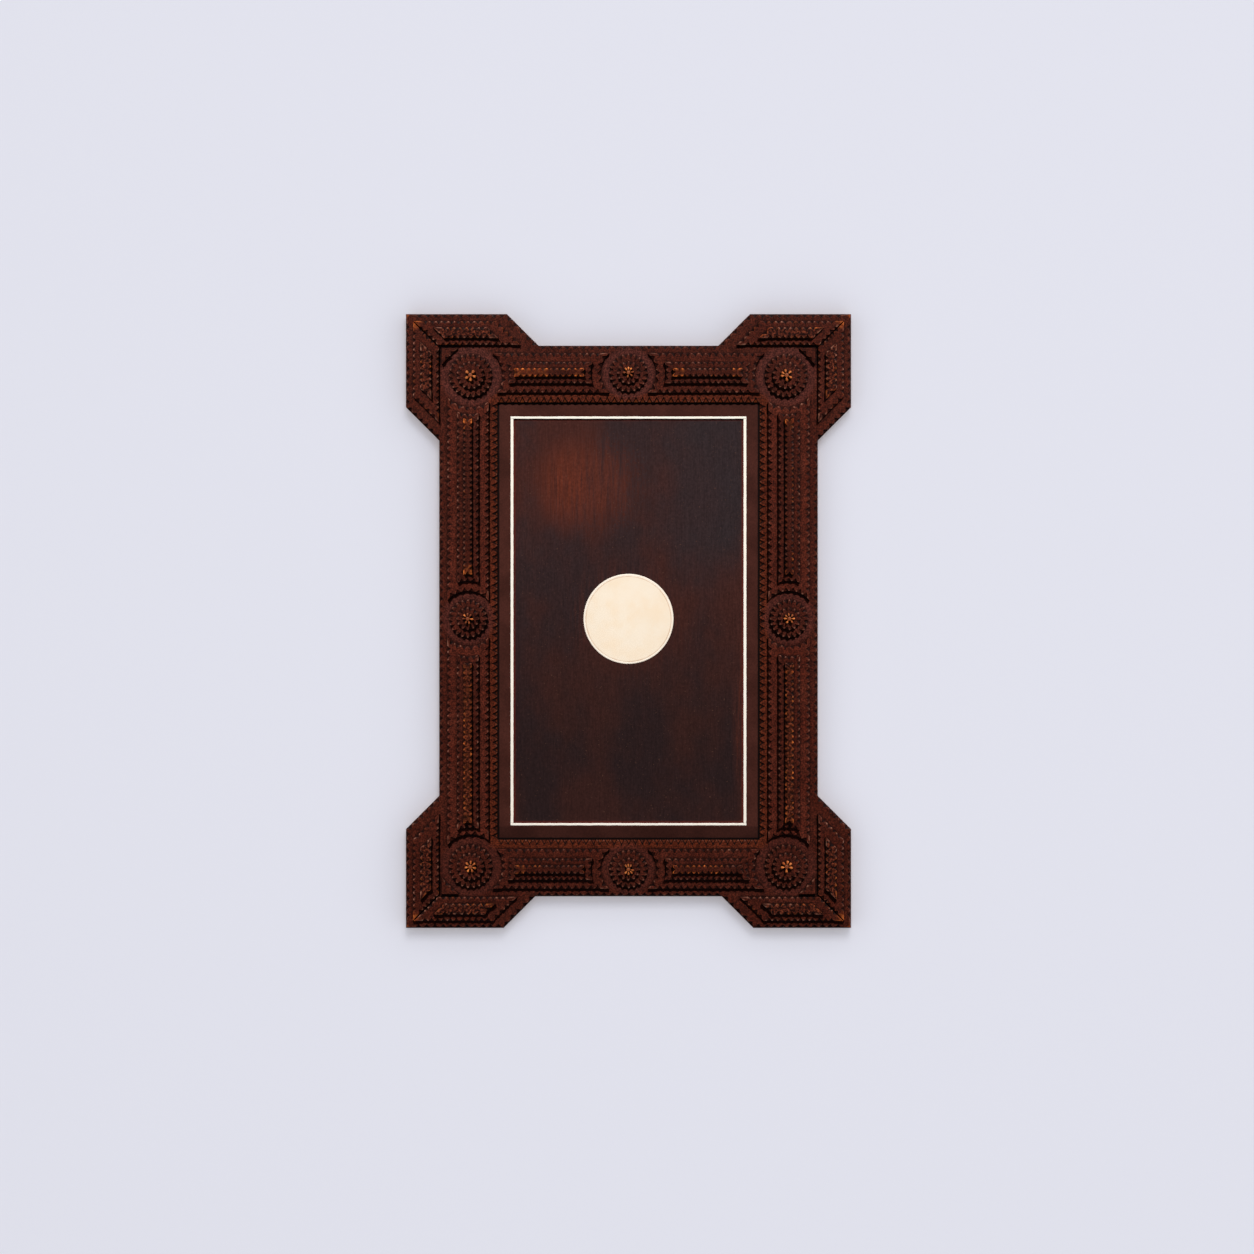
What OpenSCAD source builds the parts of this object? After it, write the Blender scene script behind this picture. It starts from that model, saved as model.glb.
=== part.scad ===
// Chip-carved layered wall frame with four square ears, in millimetres.
// X runs to the right, Z up, and the front faces -Y. The wall is the plane Y = 0.
// The origin is the middle of the backboard's back face.

/* [Outline] */
// Width over the ears
frame_w = 401; // [390:1:430]
// Height over the ears
frame_h = 553; // [540:1:600]
// How far the ears stand out past the stiles
ear_out_x = 30; // [27:0.5:33]
// How far the ears stand out past the rails
ear_out_z = 28.5; // [25:0.5:31]
// Length of a top ear's upper edge
ear_top_len = 91; // [84:0.5:95]
// Length of a top ear's side edge
ear_side_len = 84; // [79:0.5:92]
// Length of a bottom ear's lower edge
low_ear_end_len = 88; // [82:0.5:94]
// Length of a bottom ear's side edge
low_ear_side_len = 89; // [79:0.5:92]
// Width of a stile, from the sight opening to the stile's outer line
stile_w = 54; // [52:0.5:58]
// Width of a rail, from the sight opening to the rail's outer line
rail_w = 52.5; // [51.5:0.5:58]

/* [Layers] */
// Thickness of the backboard
back_t = 5; // [4.8:0.1:6]
// Thickness of the base frame and the ear blocks
base_t = 12; // [11:0.5:15]
// Thickness of the four cover boards
cover_t = 4.5; // [3.5:0.1:5.5]
// Thickness of each glued slat and medallion disc
slat_t = 4.5; // [3.5:0.1:5.5]
// Step from the base frame's straight edge in to the cover boards
cover_step = 0.8; // [0.4:0.1:1.4]

/* [Carving] */
// Spacing of the cuts round the outside of the cover boards
outer_pitch = 7.3; // [6.2:0.1:8.4]
// Spacing of the cuts along the sight opening and the lower slats
cut_pitch = 6.4; // [5.4:0.1:7.4]
// Spacing of the cuts along the topmost slats
crest_pitch = 6.1; // [5.2:0.1:7]
// Spacing of the cuts along the slats on the ears
ear_pitch = 5.9; // [5:0.1:6.8]
// Depth of the cuts
cut_depth = 3; // [2:0.1:3.4]
// Depth of the cuts in the topmost slats
crest_cut_depth = 2.2; // [1.6:0.1:2.6]
// Share of the spacing that a cut's mouth takes
cut_mouth = 0.78; // [0.6:0.01:0.86]
// Plain edge left beside a square or blunt corner
blunt_margin = 2; // [1:0.1:3]
// Plain edge left beside a sharp corner
sharp_margin = 7.5; // [6:0.1:9]
// Thickness of the glue under each slat and disc
glue_t = 0.05; // [0.02:0.01:0.15]
// Gap left in mitred and butted joints
joint_gap = 0.1; // [0.05:0.01:0.3]

/* [Rail and stile slats] */
// Distance from a stile's outer line in to its first slats
stile_slat_out = 7.6; // [6:0.1:8]
// Distance from the sight opening to the stiles' first slats
stile_slat_in = 9.2; // [8:0.1:11]
// Distance from a rail's outer line in to its first slats
rail_slat_out = 7.1; // [6:0.1:8]
// Distance from the sight opening to the rails' first slats
rail_slat_in = 9.6; // [8:0.1:11]
// Width of the second slat
second_slat_w = 19.4; // [17:0.1:22]
// Width of the third slat
third_slat_w = 7.8; // [7:0.1:9]

/* [Medallions] */
// How far in from the slats' centre lines the corner medallions sit
corner_in = 2.4; // [0:0.1:3]
// How far above the frame's centre the side medallions sit
side_rise = 2; // [-3:0.1:3]
// Diameter of a corner medallion's lower disc
corner_disc_d = 39.6; // [36:0.1:42]
// Diameter of a corner medallion's upper disc
corner_cap_d = 25.2; // [22:0.1:28]
// Diameter of a corner medallion's star button
corner_star_d = 11.6; // [10:0.1:13]
// Diameter of a middle medallion's lower disc
mid_disc_d = 34.8; // [32:0.1:37]
// Diameter of a middle medallion's upper disc
mid_cap_d = 20.8; // [18:0.1:24]
// Diameter of a middle medallion's star button
mid_star_d = 10.8; // [9:0.1:12]
// Spacing of the cuts round the discs
disc_pitch = 5.6; // [5:0.1:6.4]
// Petals of a star button
star_petals = 6; // [5:1:7]
// Radius of the bare ground round a corner medallion
corner_ground_r = 28.4; // [27:0.1:30]
// Radius of the bare ground round a middle medallion
mid_ground_r = 24.8; // [23:0.1:27]

/* [Slat ends] */
// Further set-back of the second slat beside a corner medallion
corner_step_2 = 6.4; // [5:0.1:9]
// Further set-back of the third slat beside a corner medallion
corner_step_3 = 11; // [9.5:0.1:14]
// Further set-back of the second slat beside a middle medallion
mid_step_2 = 9; // [6:0.1:11]
// Further set-back of the third slat beside a middle medallion
mid_step_3 = 15; // [12:0.1:18]

/* [Ears] */
// Distance from an ear's straight edge in to its slat
ear_slat_in = 6.8; // [6:0.1:8.5]
// Distance from the chamfer in to the ear slats' ends
ear_slat_end = 11.2; // [9:0.1:13]
// Gap between an ear's two mitred slats
ear_mitre_gap = 0.9; // [0.4:0.1:1.4]
// Width of the second slat on an ear
ear_crest_w = 10; // [9:0.1:12]
// Distance from the chamfer in to the second slats' ends
ear_crest_end = 21; // [18:0.1:24]
// Distance from the mitre to the second slats' ends
ear_crest_mitre = 8.6; // [6:0.1:11]
// Depth of the cuts in the second slats on the ears
ear_crest_cut = 3.2; // [2.4:0.1:3.6]
// Distance of a corner spandrel from the lines of the stile and the rail
spandrel_in = 2.5; // [1:0.1:3]
// Length of a corner spandrel's straight sides
spandrel_leg = 15; // [12:0.1:16]

/* [Panel] */
// How far the cover boards reach past the base frame to hold the panel
rabbet_w = 7; // [6:0.1:9]
// Clearance round the panel in the base frame
panel_clear = 0.5; // [0.2:0.1:1]
// Thickness of the liner strips
liner_t = 2; // [1.6:0.1:2.5]
// Width of the liner seen beside the stiles
liner_show_x = 10.2; // [8:0.1:13]
// Width of the liner seen beside the rails
liner_show_z = 11.2; // [8:0.1:14]
// Width of the pale line's upright strips
line_w_side = 2.7; // [2:0.1:4]
// Width of the pale line's level strips
line_w_end = 2.2; // [2:0.1:4]
// How far the pale line stands proud of the liner
line_proud = 0.4; // [0.2:0.1:0.8]
// Diameter of the pale disc
disc_d = 81.2; // [70:0.1:90]
// Height of the disc's centre above the frame's centre
disc_rise = 1.9; // [-4:0.1:4]
// Depth of the disc's recess in the panel
disc_recess = 1.5; // [1:0.1:2.5]
// How far the disc stands proud of the panel
disc_proud = 0.5; // [0.3:0.1:1]
// Clearance round the disc in its recess
disc_clear = 0.15; // [0.1:0.05:0.3]

/* [Backboard] */
// How far the backboard laps over the base frame
back_lap = 12; // [10:0.5:13]
// Distance of the nails from the backboard's edge
nail_in = 6; // [5:0.5:7]
// Number of nails along the top and the bottom
nails_level = 4; // [3:1:6]
// Number of nails down each side
nails_upright = 5; // [4:1:7]
// Diameter of a nail's shank
nail_d = 1.4; // [1.2:0.1:1.8]
// Diameter of a nail's head
nail_head_d = 3.2; // [2.6:0.1:4]
// Thickness of a nail's head
nail_head_t = 0.8; // [0.6:0.1:1.2]
// Length of a nail
nail_len = 14; // [12:0.5:15]
// Clearance round nails and screws
shank_clear = 0.05; // [0.03:0.01:0.1]

/* [Hangers] */
// Height of the hangers' hinges above the frame's centre
hanger_z = 120; // [90:1:150]
// Width of a hanger strap
strap_w = 10; // [9:0.5:12]
// Thickness of a hanger strap
strap_t = 1; // [0.8:0.1:1.1]
// Diameter of the ring's wire
ring_wire_d = 2; // [1.8:0.1:2]
// Radius of the ring, to the middle of its wire
ring_r = 10; // [9:0.5:11]
// Clearance between the ring's bar and its knuckle
ring_clear = 0.08; // [0.03:0.01:0.1]
// Gap between the knuckle and the wood behind it
knuckle_lift = 0.3; // [0.2:0.05:0.35]
// Diameter of a hanger screw's head
screw_head_d = 6; // [5.5:0.1:6.5]
// Thickness of a hanger screw's head
screw_head_t = 2; // [1.6:0.1:2.2]
// Diameter of a hanger screw's shank
screw_d = 2.8; // [2.4:0.1:3.2]
// Length of a hanger screw under its head
screw_len = 11; // [9:0.5:11.5]
// Clearance between the hanging ring and the screw's head
ring_to_screw = 3; // [2:0.1:5]
// Strap left below the screw's head
strap_tail = 3; // [2:0.1:5]

/* [Hidden] */
CORNERS = ["top_left", "top_right", "bottom_left", "bottom_right"];
SIDES = ["left", "right"];
ENDS = ["top", "bottom"];

stain = [0.30, 0.13, 0.09];
gilt = [0.75, 0.42, 0.16];
pine = [0.72, 0.58, 0.40];
dark_paint = [0.16, 0.09, 0.08];
cream = [0.95, 0.90, 0.80];
steel = [0.62, 0.62, 0.64];
brass = [0.72, 0.57, 0.30];

ear_x = frame_w / 2;
ear_z = frame_h / 2;
body_x = ear_x - ear_out_x;
body_z = ear_z - ear_out_z;
sight_x = body_x - stile_w;
sight_z = body_z - rail_w;
// Depths behind which each layer starts, measured from the wall towards the front
base_y = back_t;
cover_y = base_y + base_t;
slat_y = cover_y + cover_t;
liner_y = cover_y - liner_t;
line_t = liner_t + line_proud;
hold_x = sight_x + rabbet_w;
hold_z = sight_z + rabbet_w;
back_x = hold_x + back_lap;
back_z = hold_z + back_lap;
line_x = sight_x - liner_show_x;
line_z = sight_z - liner_show_z;
stile_slat_w = stile_w - stile_slat_in - stile_slat_out;
rail_slat_w = rail_w - rail_slat_in - rail_slat_out;
stile_line = sight_x + stile_slat_in + stile_slat_w / 2;
rail_line = sight_z + rail_slat_in + rail_slat_w / 2;
corner_at = [stile_line - corner_in, rail_line - corner_in];
// The hangers stand midway between the backboard and the stiles' outer lines
hanger_x = (back_x + body_x) / 2;
knuckle_r = ring_wire_d / 2 + ring_clear + strap_t;
hinge_y = back_t - knuckle_lift - knuckle_r;
screw_drop = ring_r + ring_wire_d / 2 + ring_to_screw + screw_head_d / 2;
strap_drop = screw_drop + screw_head_d / 2 + strap_tail;
slot_w = 0.9;
slot_deep = 0.9;
through = 1;
$fn = 48;

function is_low(c) = c == CORNERS[2] || c == CORNERS[3];

// Lengths of an ear's level edge and its side edge
function ear_lens(low) = low ? [low_ear_end_len, low_ear_side_len] : [ear_top_len, ear_side_len];

// Where a set of evenly spaced nails sits between -span and span
function spaced(count, span) = [for (i = [0 : count - 1]) -span + 2 * span * (i + 0.5) / count];
nail_row_z = back_z - nail_in;
nail_row_x = back_x - nail_in;
nail_points = concat(
    [for (x = spaced(nails_level, sight_x), s = [-1, 1]) [x, s * nail_row_z]],
    [for (z = spaced(nails_upright, sight_z), s = [-1, 1]) [s * nail_row_x, z]]
);

// Points from p towards q, with V cuts into the side on the left of that way.
// The margins are the plain edge left at p and at q.
function cut_edge(p, q, pitch, depth, margins) =
    let (len = norm(q - p))
    let (along = (q - p) / len)
    let (inward = [-along[1], along[0]])
    let (run = len - margins[0] - margins[1])
    let (count = max(1, round(run / pitch)))
    let (step = run / count)
    concat([p], [
        for (i = [0 : count - 1], k = [-1, 0, 1])
            p + along * (margins[0] + step * (i + 0.5 + k * cut_mouth / 2)) + inward * (k == 0 ? depth : 0)
    ]);

// Points round an arc, with V cuts to the radius r + depth and a plain margin at both ends
function cut_arc(centre, r, from, to, pitch, depth, margin) =
    let (trim = sign(to - from) * margin * 180 / PI / r)
    let (run = to - from - 2 * trim)
    let (count = max(1, round(r * abs(run) * PI / 180 / pitch)))
    let (step = run / count)
    [
        for (i = [0 : count - 1], k = [-1, 0, 1])
            let (a = from + trim + step * (i + 0.5 + k * cut_mouth / 2))
            centre + (k == 0 ? r + depth : r) * [cos(a), sin(a)]
    ];

// A closed outline through the corners. Each side has the margins of its cuts, or [] for no cuts.
function cut_outline(corners, sides, pitches, depth) = [
    for (i = [0 : len(corners) - 1])
        let (p = corners[i])
        let (q = corners[(i + 1) % len(corners)])
        for (v = sides[i] == [] ? [p] : cut_edge(p, q, pitches[i], depth, sides[i])) v
];

// A slat along X whose ends curve round circles at start and end, each [x, y, r]
function slat_outline(w, start, end, pitch, depth, margin, end_margin) =
    let (h = w / 2)
    let (s_low = -asin((h + start[1]) / start[2]))
    let (s_high = asin((h - start[1]) / start[2]))
    let (e_low = 180 + asin((h + end[1]) / end[2]))
    let (e_high = 180 - asin((h - end[1]) / end[2]))
    let (a = [start[0] + start[2] * cos(s_low), -h])
    let (b = [end[0] + end[2] * cos(e_low), -h])
    let (c = [end[0] + end[2] * cos(e_high), h])
    let (d = [start[0] + start[2] * cos(s_high), h])
    concat(
        cut_edge(a, b, pitch, depth, [margin, margin]),
        [b],
        cut_arc([end[0], end[1]], end[2], e_low, e_high, pitch, depth, end_margin),
        cut_edge(c, d, pitch, depth, [margin, margin]),
        [d],
        cut_arc([start[0], start[1]], start[2], s_high, s_low, pitch, depth, end_margin)
    );

// A slat on an ear, [along, across] from the ear's corner, between its mitre and chamfer ends
function ear_outline(edge_len, near, far, mitre, end, depth) =
    let (m = mitre * sqrt(2))
    let (e = edge_len - end * sqrt(2))
    let (side = [sharp_margin, blunt_margin])
    cut_outline(
        [[near + m, near], [near + e, near], [far + e, far], [far + m, far]],
        [side, [blunt_margin, blunt_margin], side, []],
        [for (i = [0 : 3]) ear_pitch],
        depth
    );

// Petals round a button
function star_outline(d, petals) = [
    for (i = [0 : 2 * petals - 1])
        let (r = i % 2 == 0 ? d / 2 : d / 5)
        for (k = i % 2 == 0 ? [-1, 1] : [0])
            r * [cos(i * 180 / petals + k * 60 / petals), sin(i * 180 / petals + k * 60 / petals)]
];

// Stands a flat shape up in X and Z, from depth y towards the front
module layer(y, t) {
    translate([0, -y, 0])
        rotate([90, 0, 0])
            linear_extrude(t)
                children();
}

// A slat or disc of the given tier, on its glue
module slat_layer(tier) {
    layer(slat_y + tier * slat_t + glue_t, slat_t - glue_t)
        children();
}

// Moves a shape made for the top right to another quadrant
module to_corner(c) {
    mirror([c == CORNERS[0] || c == CORNERS[2] ? 1 : 0, 0, 0])
        mirror([0, 0, is_low(c) ? 1 : 0])
            children();
}

module to_side(s) {
    mirror([s == "left" ? 1 : 0, 0, 0])
        children();
}

module to_end(e) {
    mirror([0, 0, e == "bottom" ? 1 : 0])
        children();
}

// A block between two corners, given as [x, y, z] with y measured from the wall forward
module block(low, high) {
    translate([low[0], -high[1], low[2]])
        cube([high[0] - low[0], high[1] - low[1], high[2] - low[2]]);
}

// The shanks of the nails or screws, as holes
module shank_holes(points, d, y, depth) {
    for (p = points)
        translate([p[0], -y, p[1]])
            rotate([90, 0, 0])
                cylinder(d = d + 2 * shank_clear, h = depth);
}

module pilot_holes() {
    shank_holes(nail_points, nail_d, 0, nail_len);
    shank_holes([for (s = [-1, 1]) [s * hanger_x, hanger_z - screw_drop]], screw_d, back_t - strap_t, screw_len);
}

module base_stile(s) {
    color(pine) to_side(s) difference() {
        block([hold_x, base_y, -body_z], [body_x, cover_y, body_z]);
        for (e = ENDS)
            to_end(e)
                block([0, base_y + base_t / 2, hold_z], [ear_x, cover_y + through, ear_z]);
        pilot_holes();
    }
}

module base_rail(e) {
    color(pine) to_end(e) difference() {
        block([-body_x, base_y, hold_z], [body_x, cover_y, body_z]);
        for (s = SIDES)
            to_side(s)
                block([hold_x, base_y - through, 0], [ear_x, base_y + base_t / 2, ear_z]);
        to_end(e) pilot_holes();
    }
}

// Two mitred blocks that widen the base frame into a square ear
module ear_block(c) {
    lens = ear_lens(is_low(c));
    color(pine) to_corner(c) layer(base_y, base_t) {
        polygon([[ear_x - joint_gap, ear_z], [ear_x - lens[0], ear_z],
            [ear_x - lens[0] - ear_out_z, body_z], [body_x - joint_gap, body_z]]);
        polygon([[ear_x, ear_z], [body_x, body_z],
            [body_x, ear_z - lens[1] - ear_out_x], [ear_x, ear_z - lens[1]]]);
    }
}

// A cover board's sides: mitre, ear edge, chamfer, long edge, chamfer, ear edge, mitre, sight edge
cover_cuts = [
    [], [sharp_margin, 0], [0, 0], [0, 0], [0, 0], [0, sharp_margin], [], [0, 0]
];
cover_pitches = [for (i = [0 : 7]) i == 7 ? cut_pitch : outer_pitch];

function cover_corner(a, b) = [ear_x - cover_step - a, ear_z - cover_step - b];

// Half of a side cover's outline, from its long edge round the ear to the sight opening
function cover_side_half(low) =
    let (ear = ear_lens(low)[1] - sqrt(2) * cover_step)
    [cover_corner(ear_out_x, ear + ear_out_x), cover_corner(0, ear), cover_corner(0, 0), [sight_x, sight_z]];

module cover_end(e) {
    ear = ear_lens(e == "bottom")[0] - sqrt(2) * cover_step;
    right = [[sight_x, sight_z], cover_corner(0, 0), cover_corner(ear, 0), cover_corner(ear + ear_out_z, ear_out_z)];
    left = [for (i = [3 : -1 : 0]) [-right[i][0], right[i][1]]];
    color(stain) to_end(e) layer(cover_y, cover_t)
        polygon(cut_outline(concat(right, left), cover_cuts, cover_pitches, cut_depth));
}

module cover_side(s) {
    below = cover_side_half(true);
    low = [for (i = [3 : -1 : 0]) [below[i][0], -below[i][1]]];
    color(stain) to_side(s) layer(cover_y, cover_t)
        polygon(cut_outline(concat(low, cover_side_half(false)), cover_cuts, cover_pitches, cut_depth));
}

// The ends of a slat in tier 0, 1 or 2, as [x, y, r] for its start and end circles
function mid_end(tier, at) = [at, 0, mid_ground_r + [0, mid_step_2, mid_step_3][tier]];
function corner_end(tier, at) = [at, -corner_in, corner_ground_r + [0, corner_step_2, corner_step_3][tier]];
function slat_w(tier, first) = [first, second_slat_w, third_slat_w][tier];
function slat_pitch(tier) = tier == 2 ? crest_pitch : cut_pitch;
function slat_depth(tier) = tier == 2 ? crest_cut_depth : cut_depth;
function slat_margin(tier) = [sharp_margin, (sharp_margin + blunt_margin) / 2, crest_cut_depth + 1][tier];
function slat_end_margin(tier) = [1.5, 1, 0.6][tier] * blunt_margin;

module rail_slats(c, tiers) {
    to_corner(c) for (t = tiers)
        slat_layer(t)
            translate([0, rail_line])
                polygon(slat_outline(slat_w(t, rail_slat_w), mid_end(t, 0), corner_end(t, corner_at[0]),
                    slat_pitch(t), slat_depth(t), slat_margin(t), slat_end_margin(t)));
}

module stile_slats(c, tiers) {
    rise = is_low(c) ? -side_rise : side_rise;
    to_corner(c) for (t = tiers)
        slat_layer(t)
            translate([stile_line, 0])
                mirror([1, -1])
                    polygon(slat_outline(slat_w(t, stile_slat_w), mid_end(t, rise), corner_end(t, corner_at[1]),
                        slat_pitch(t), slat_depth(t), slat_margin(t), slat_end_margin(t)));
}

// The two slats along one edge of an ear, drawn from the ear's corner.
// The flip is [0, 0] for the top edge and [1, -1], across the mitre line, for the side edge.
module ear_slats(edge_len, out, flip) {
    middle = (ear_slat_in + out) / 2;
    slat_layer(0)
        translate([ear_x, ear_z])
            rotate(180)
                mirror(flip)
                    polygon(ear_outline(edge_len, ear_slat_in, out, ear_mitre_gap / 2, ear_slat_end, cut_depth));
    slat_layer(1)
        translate([ear_x, ear_z])
            rotate(180)
                mirror(flip)
                    polygon(ear_outline(edge_len, middle - ear_crest_w / 2, middle + ear_crest_w / 2,
                        ear_crest_mitre, ear_crest_end, ear_crest_cut));
}

// A toothed disc, a smaller one on it and a star button on top
module medallion(at, disc_d, cap_d, star_d) {
    color(stain) for (t = [0, 1])
        slat_layer(t)
            translate(at)
                polygon(cut_arc([0, 0], [disc_d, cap_d][t] / 2, 0, 360, disc_pitch, -cut_depth, 0));
    color(gilt) slat_layer(2)
        translate(at)
            polygon(star_outline(star_d, star_petals));
}

module corner_medallion(c) {
    to_corner(c) medallion(corner_at, corner_disc_d, corner_cap_d, corner_star_d);
}

// Small triangles in the corners between the ear slats and the corner medallions
module corner_spandrels() {
    at = [body_x - spandrel_in, body_z - spandrel_in];
    color(stain) for (c = CORNERS)
        to_corner(c) slat_layer(0)
            polygon(cut_outline([at, at - [spandrel_leg, 0], at - [0, spandrel_leg]],
                [[], [sharp_margin / 2, sharp_margin / 2], []], [0, cut_pitch, 0], cut_depth));
}

// Four flat strips mitred at the corners
module liner() {
    x = hold_x - panel_clear;
    z = hold_z - panel_clear;
    color(dark_paint) layer(liner_y, liner_t) {
        for (s = [-1, 1])
            polygon([[s * line_x, joint_gap - line_z], [s * x, joint_gap - z],
                [s * x, z - joint_gap], [s * line_x, line_z - joint_gap]]);
        for (s = [-1, 1])
            polygon([[-line_x, s * line_z], [-x, s * z], [x, s * z], [line_x, s * line_z]]);
    }
}

// Four thin strips along the liner's inner edge, butted at the corners
module pale_line() {
    inner_x = line_x - line_w_side;
    inner_z = line_z - line_w_end;
    color(cream) {
        for (s = SIDES)
            to_side(s)
                block([inner_x, liner_y, joint_gap - inner_z], [line_x, liner_y + line_t, inner_z - joint_gap]);
        for (e = ENDS)
            to_end(e)
                block([-line_x, liner_y, inner_z], [line_x, liner_y + line_t, line_z]);
    }
}

module panel() {
    x = hold_x - panel_clear;
    z = hold_z - panel_clear;
    color(dark_paint) difference() {
        block([-x, base_y, -z], [x, liner_y, z]);
        translate([0, -liner_y + disc_recess, disc_rise])
            rotate([90, 0, 0])
                cylinder(d = disc_d + 2 * disc_clear, h = disc_recess + through, $fn = 96);
    }
}

module pale_disc() {
    color(cream)
        translate([0, -liner_y + disc_recess, disc_rise])
            rotate([90, 0, 0])
                cylinder(d = disc_d, h = disc_recess + disc_proud, $fn = 96);
}

module backboard() {
    color(pine) difference() {
        block([-back_x, 0, -back_z], [back_x, back_t, back_z]);
        shank_holes(nail_points, nail_d, -through, back_t + 2 * through);
        shank_holes(nail_points, nail_head_d, -through, nail_head_t + through);
    }
}

module backboard_nails() {
    color(steel) for (p = nail_points)
        translate([p[0], 0, p[1]])
            rotate([90, 0, 0]) {
                cylinder(d = nail_head_d, h = nail_head_t);
                cylinder(d = nail_d, h = nail_len - shank_clear);
            }
}

module hanger_screws() {
    color(steel) for (s = SIDES)
        to_side(s)
            translate([hanger_x, -back_t + strap_t, hanger_z - screw_drop])
                rotate([90, 0, 0])
                    difference() {
                        union() {
                            translate([0, 0, -screw_head_t])
                                cylinder(d = screw_head_d, h = screw_head_t);
                            cylinder(d = screw_d, h = screw_len - shank_clear);
                        }
                        translate([-screw_head_d, -slot_w / 2, -screw_head_t - through])
                            cube([2 * screw_head_d, slot_w, slot_deep + through]);
                    }
}

// A strap screwed to the stile, with a knuckle for the ring's bar at its upper end
module hanger_strap(s) {
    color(brass) to_side(s) translate([hanger_x, 0, hanger_z]) difference() {
        union() {
            block([-strap_w / 2, back_t - strap_t, -strap_drop + strap_w / 2], [strap_w / 2, back_t, strap_t]);
            translate([0, -back_t + strap_t, -strap_drop + strap_w / 2])
                rotate([90, 0, 0])
                    cylinder(d = strap_w, h = strap_t);
            translate([-strap_w / 2, -hinge_y, 0])
                rotate([0, 90, 0])
                    cylinder(r = knuckle_r, h = strap_w);
        }
        translate([-strap_w, -hinge_y, 0])
            rotate([0, 90, 0])
                cylinder(d = ring_wire_d + 2 * ring_clear, h = 2 * strap_w);
        translate([0, through - back_t + strap_t, -screw_drop])
            rotate([90, 0, 0])
                cylinder(d = screw_d + 2 * shank_clear, h = strap_t + 2 * through);
    }
}

// A half ring of wire closed by a straight bar, hanging down from the knuckle
module hanger_ring(s) {
    color(brass) to_side(s) translate([hanger_x, -hinge_y, hanger_z]) union() {
        translate([-ring_r, 0, 0])
            rotate([0, 90, 0])
                cylinder(d = ring_wire_d, h = 2 * ring_r);
        rotate([90, 0, 0])
            rotate([0, 0, 180])
                rotate_extrude(angle = 180)
                    translate([ring_r, 0])
                        circle(d = ring_wire_d);
        for (x = [-ring_r, ring_r])
            translate([x, 0, 0])
                sphere(d = ring_wire_d);
    }
}

for (s = SIDES) {
    base_stile(s);
    cover_side(s);
    to_side(s) medallion([stile_line, side_rise], mid_disc_d, mid_cap_d, mid_star_d);
    hanger_strap(s);
    hanger_ring(s);
}
for (e = ENDS) {
    base_rail(e);
    cover_end(e);
    to_end(e) medallion([0, rail_line], mid_disc_d, mid_cap_d, mid_star_d);
}
for (c = CORNERS) {
    ear_block(c);
    color(stain) rail_slats(c, [0]);
    color(stain) rail_slats(c, [1, 2]);
    color(stain) stile_slats(c, [0]);
    color(stain) stile_slats(c, [1, 2]);
    color(stain) to_corner(c) ear_slats(ear_lens(is_low(c))[0], ear_out_z, [0, 0]);
    color(stain) to_corner(c) ear_slats(ear_lens(is_low(c))[1], ear_out_x, [1, -1]);
    corner_medallion(c);
}
corner_spandrels();
liner();
pale_line();
panel();
pale_disc();
backboard();
backboard_nails();
hanger_screws();
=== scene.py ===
"""Looks of a chip-carved wall frame with a painted panel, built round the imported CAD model.

Lengths are in millimetres, measured like the CAD: X to the right, Z up, and depth from the wall
towards the viewer. Shape.level turns them into Blender's metres, where the front faces -Y.
"""
import math
import random

import bpy
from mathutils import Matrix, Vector


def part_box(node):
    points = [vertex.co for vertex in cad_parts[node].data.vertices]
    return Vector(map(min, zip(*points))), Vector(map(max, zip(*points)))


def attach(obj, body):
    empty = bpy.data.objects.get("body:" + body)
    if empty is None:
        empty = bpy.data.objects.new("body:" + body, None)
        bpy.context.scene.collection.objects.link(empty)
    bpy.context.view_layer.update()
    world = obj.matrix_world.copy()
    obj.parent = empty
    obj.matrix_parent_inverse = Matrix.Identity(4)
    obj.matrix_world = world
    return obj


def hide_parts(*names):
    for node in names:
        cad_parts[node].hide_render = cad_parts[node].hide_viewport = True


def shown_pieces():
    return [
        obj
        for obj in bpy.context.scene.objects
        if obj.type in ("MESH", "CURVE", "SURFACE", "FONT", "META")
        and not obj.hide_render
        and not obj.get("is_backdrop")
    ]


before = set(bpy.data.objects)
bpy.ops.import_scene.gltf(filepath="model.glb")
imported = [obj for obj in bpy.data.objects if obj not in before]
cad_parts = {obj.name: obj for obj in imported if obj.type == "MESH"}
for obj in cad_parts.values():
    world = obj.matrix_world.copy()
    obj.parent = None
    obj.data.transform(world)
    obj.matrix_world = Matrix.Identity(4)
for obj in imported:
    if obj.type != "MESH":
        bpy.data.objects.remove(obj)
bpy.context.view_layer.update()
MM = 0.001

# Sizes, from the frame
CORNERS = {"top_left": (-1, 1), "top_right": (1, 1), "bottom_left": (-1, -1), "bottom_right": (1, -1)}


def span(node, axis):
    """Lowest and highest millimetre of a CAD node along X, depth or Z."""
    low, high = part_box(node)
    if axis == "depth":
        return -high.y / MM, -low.y / MM
    i = "x?z".index(axis)
    return low[i] / MM, high[i] / MM


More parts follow.
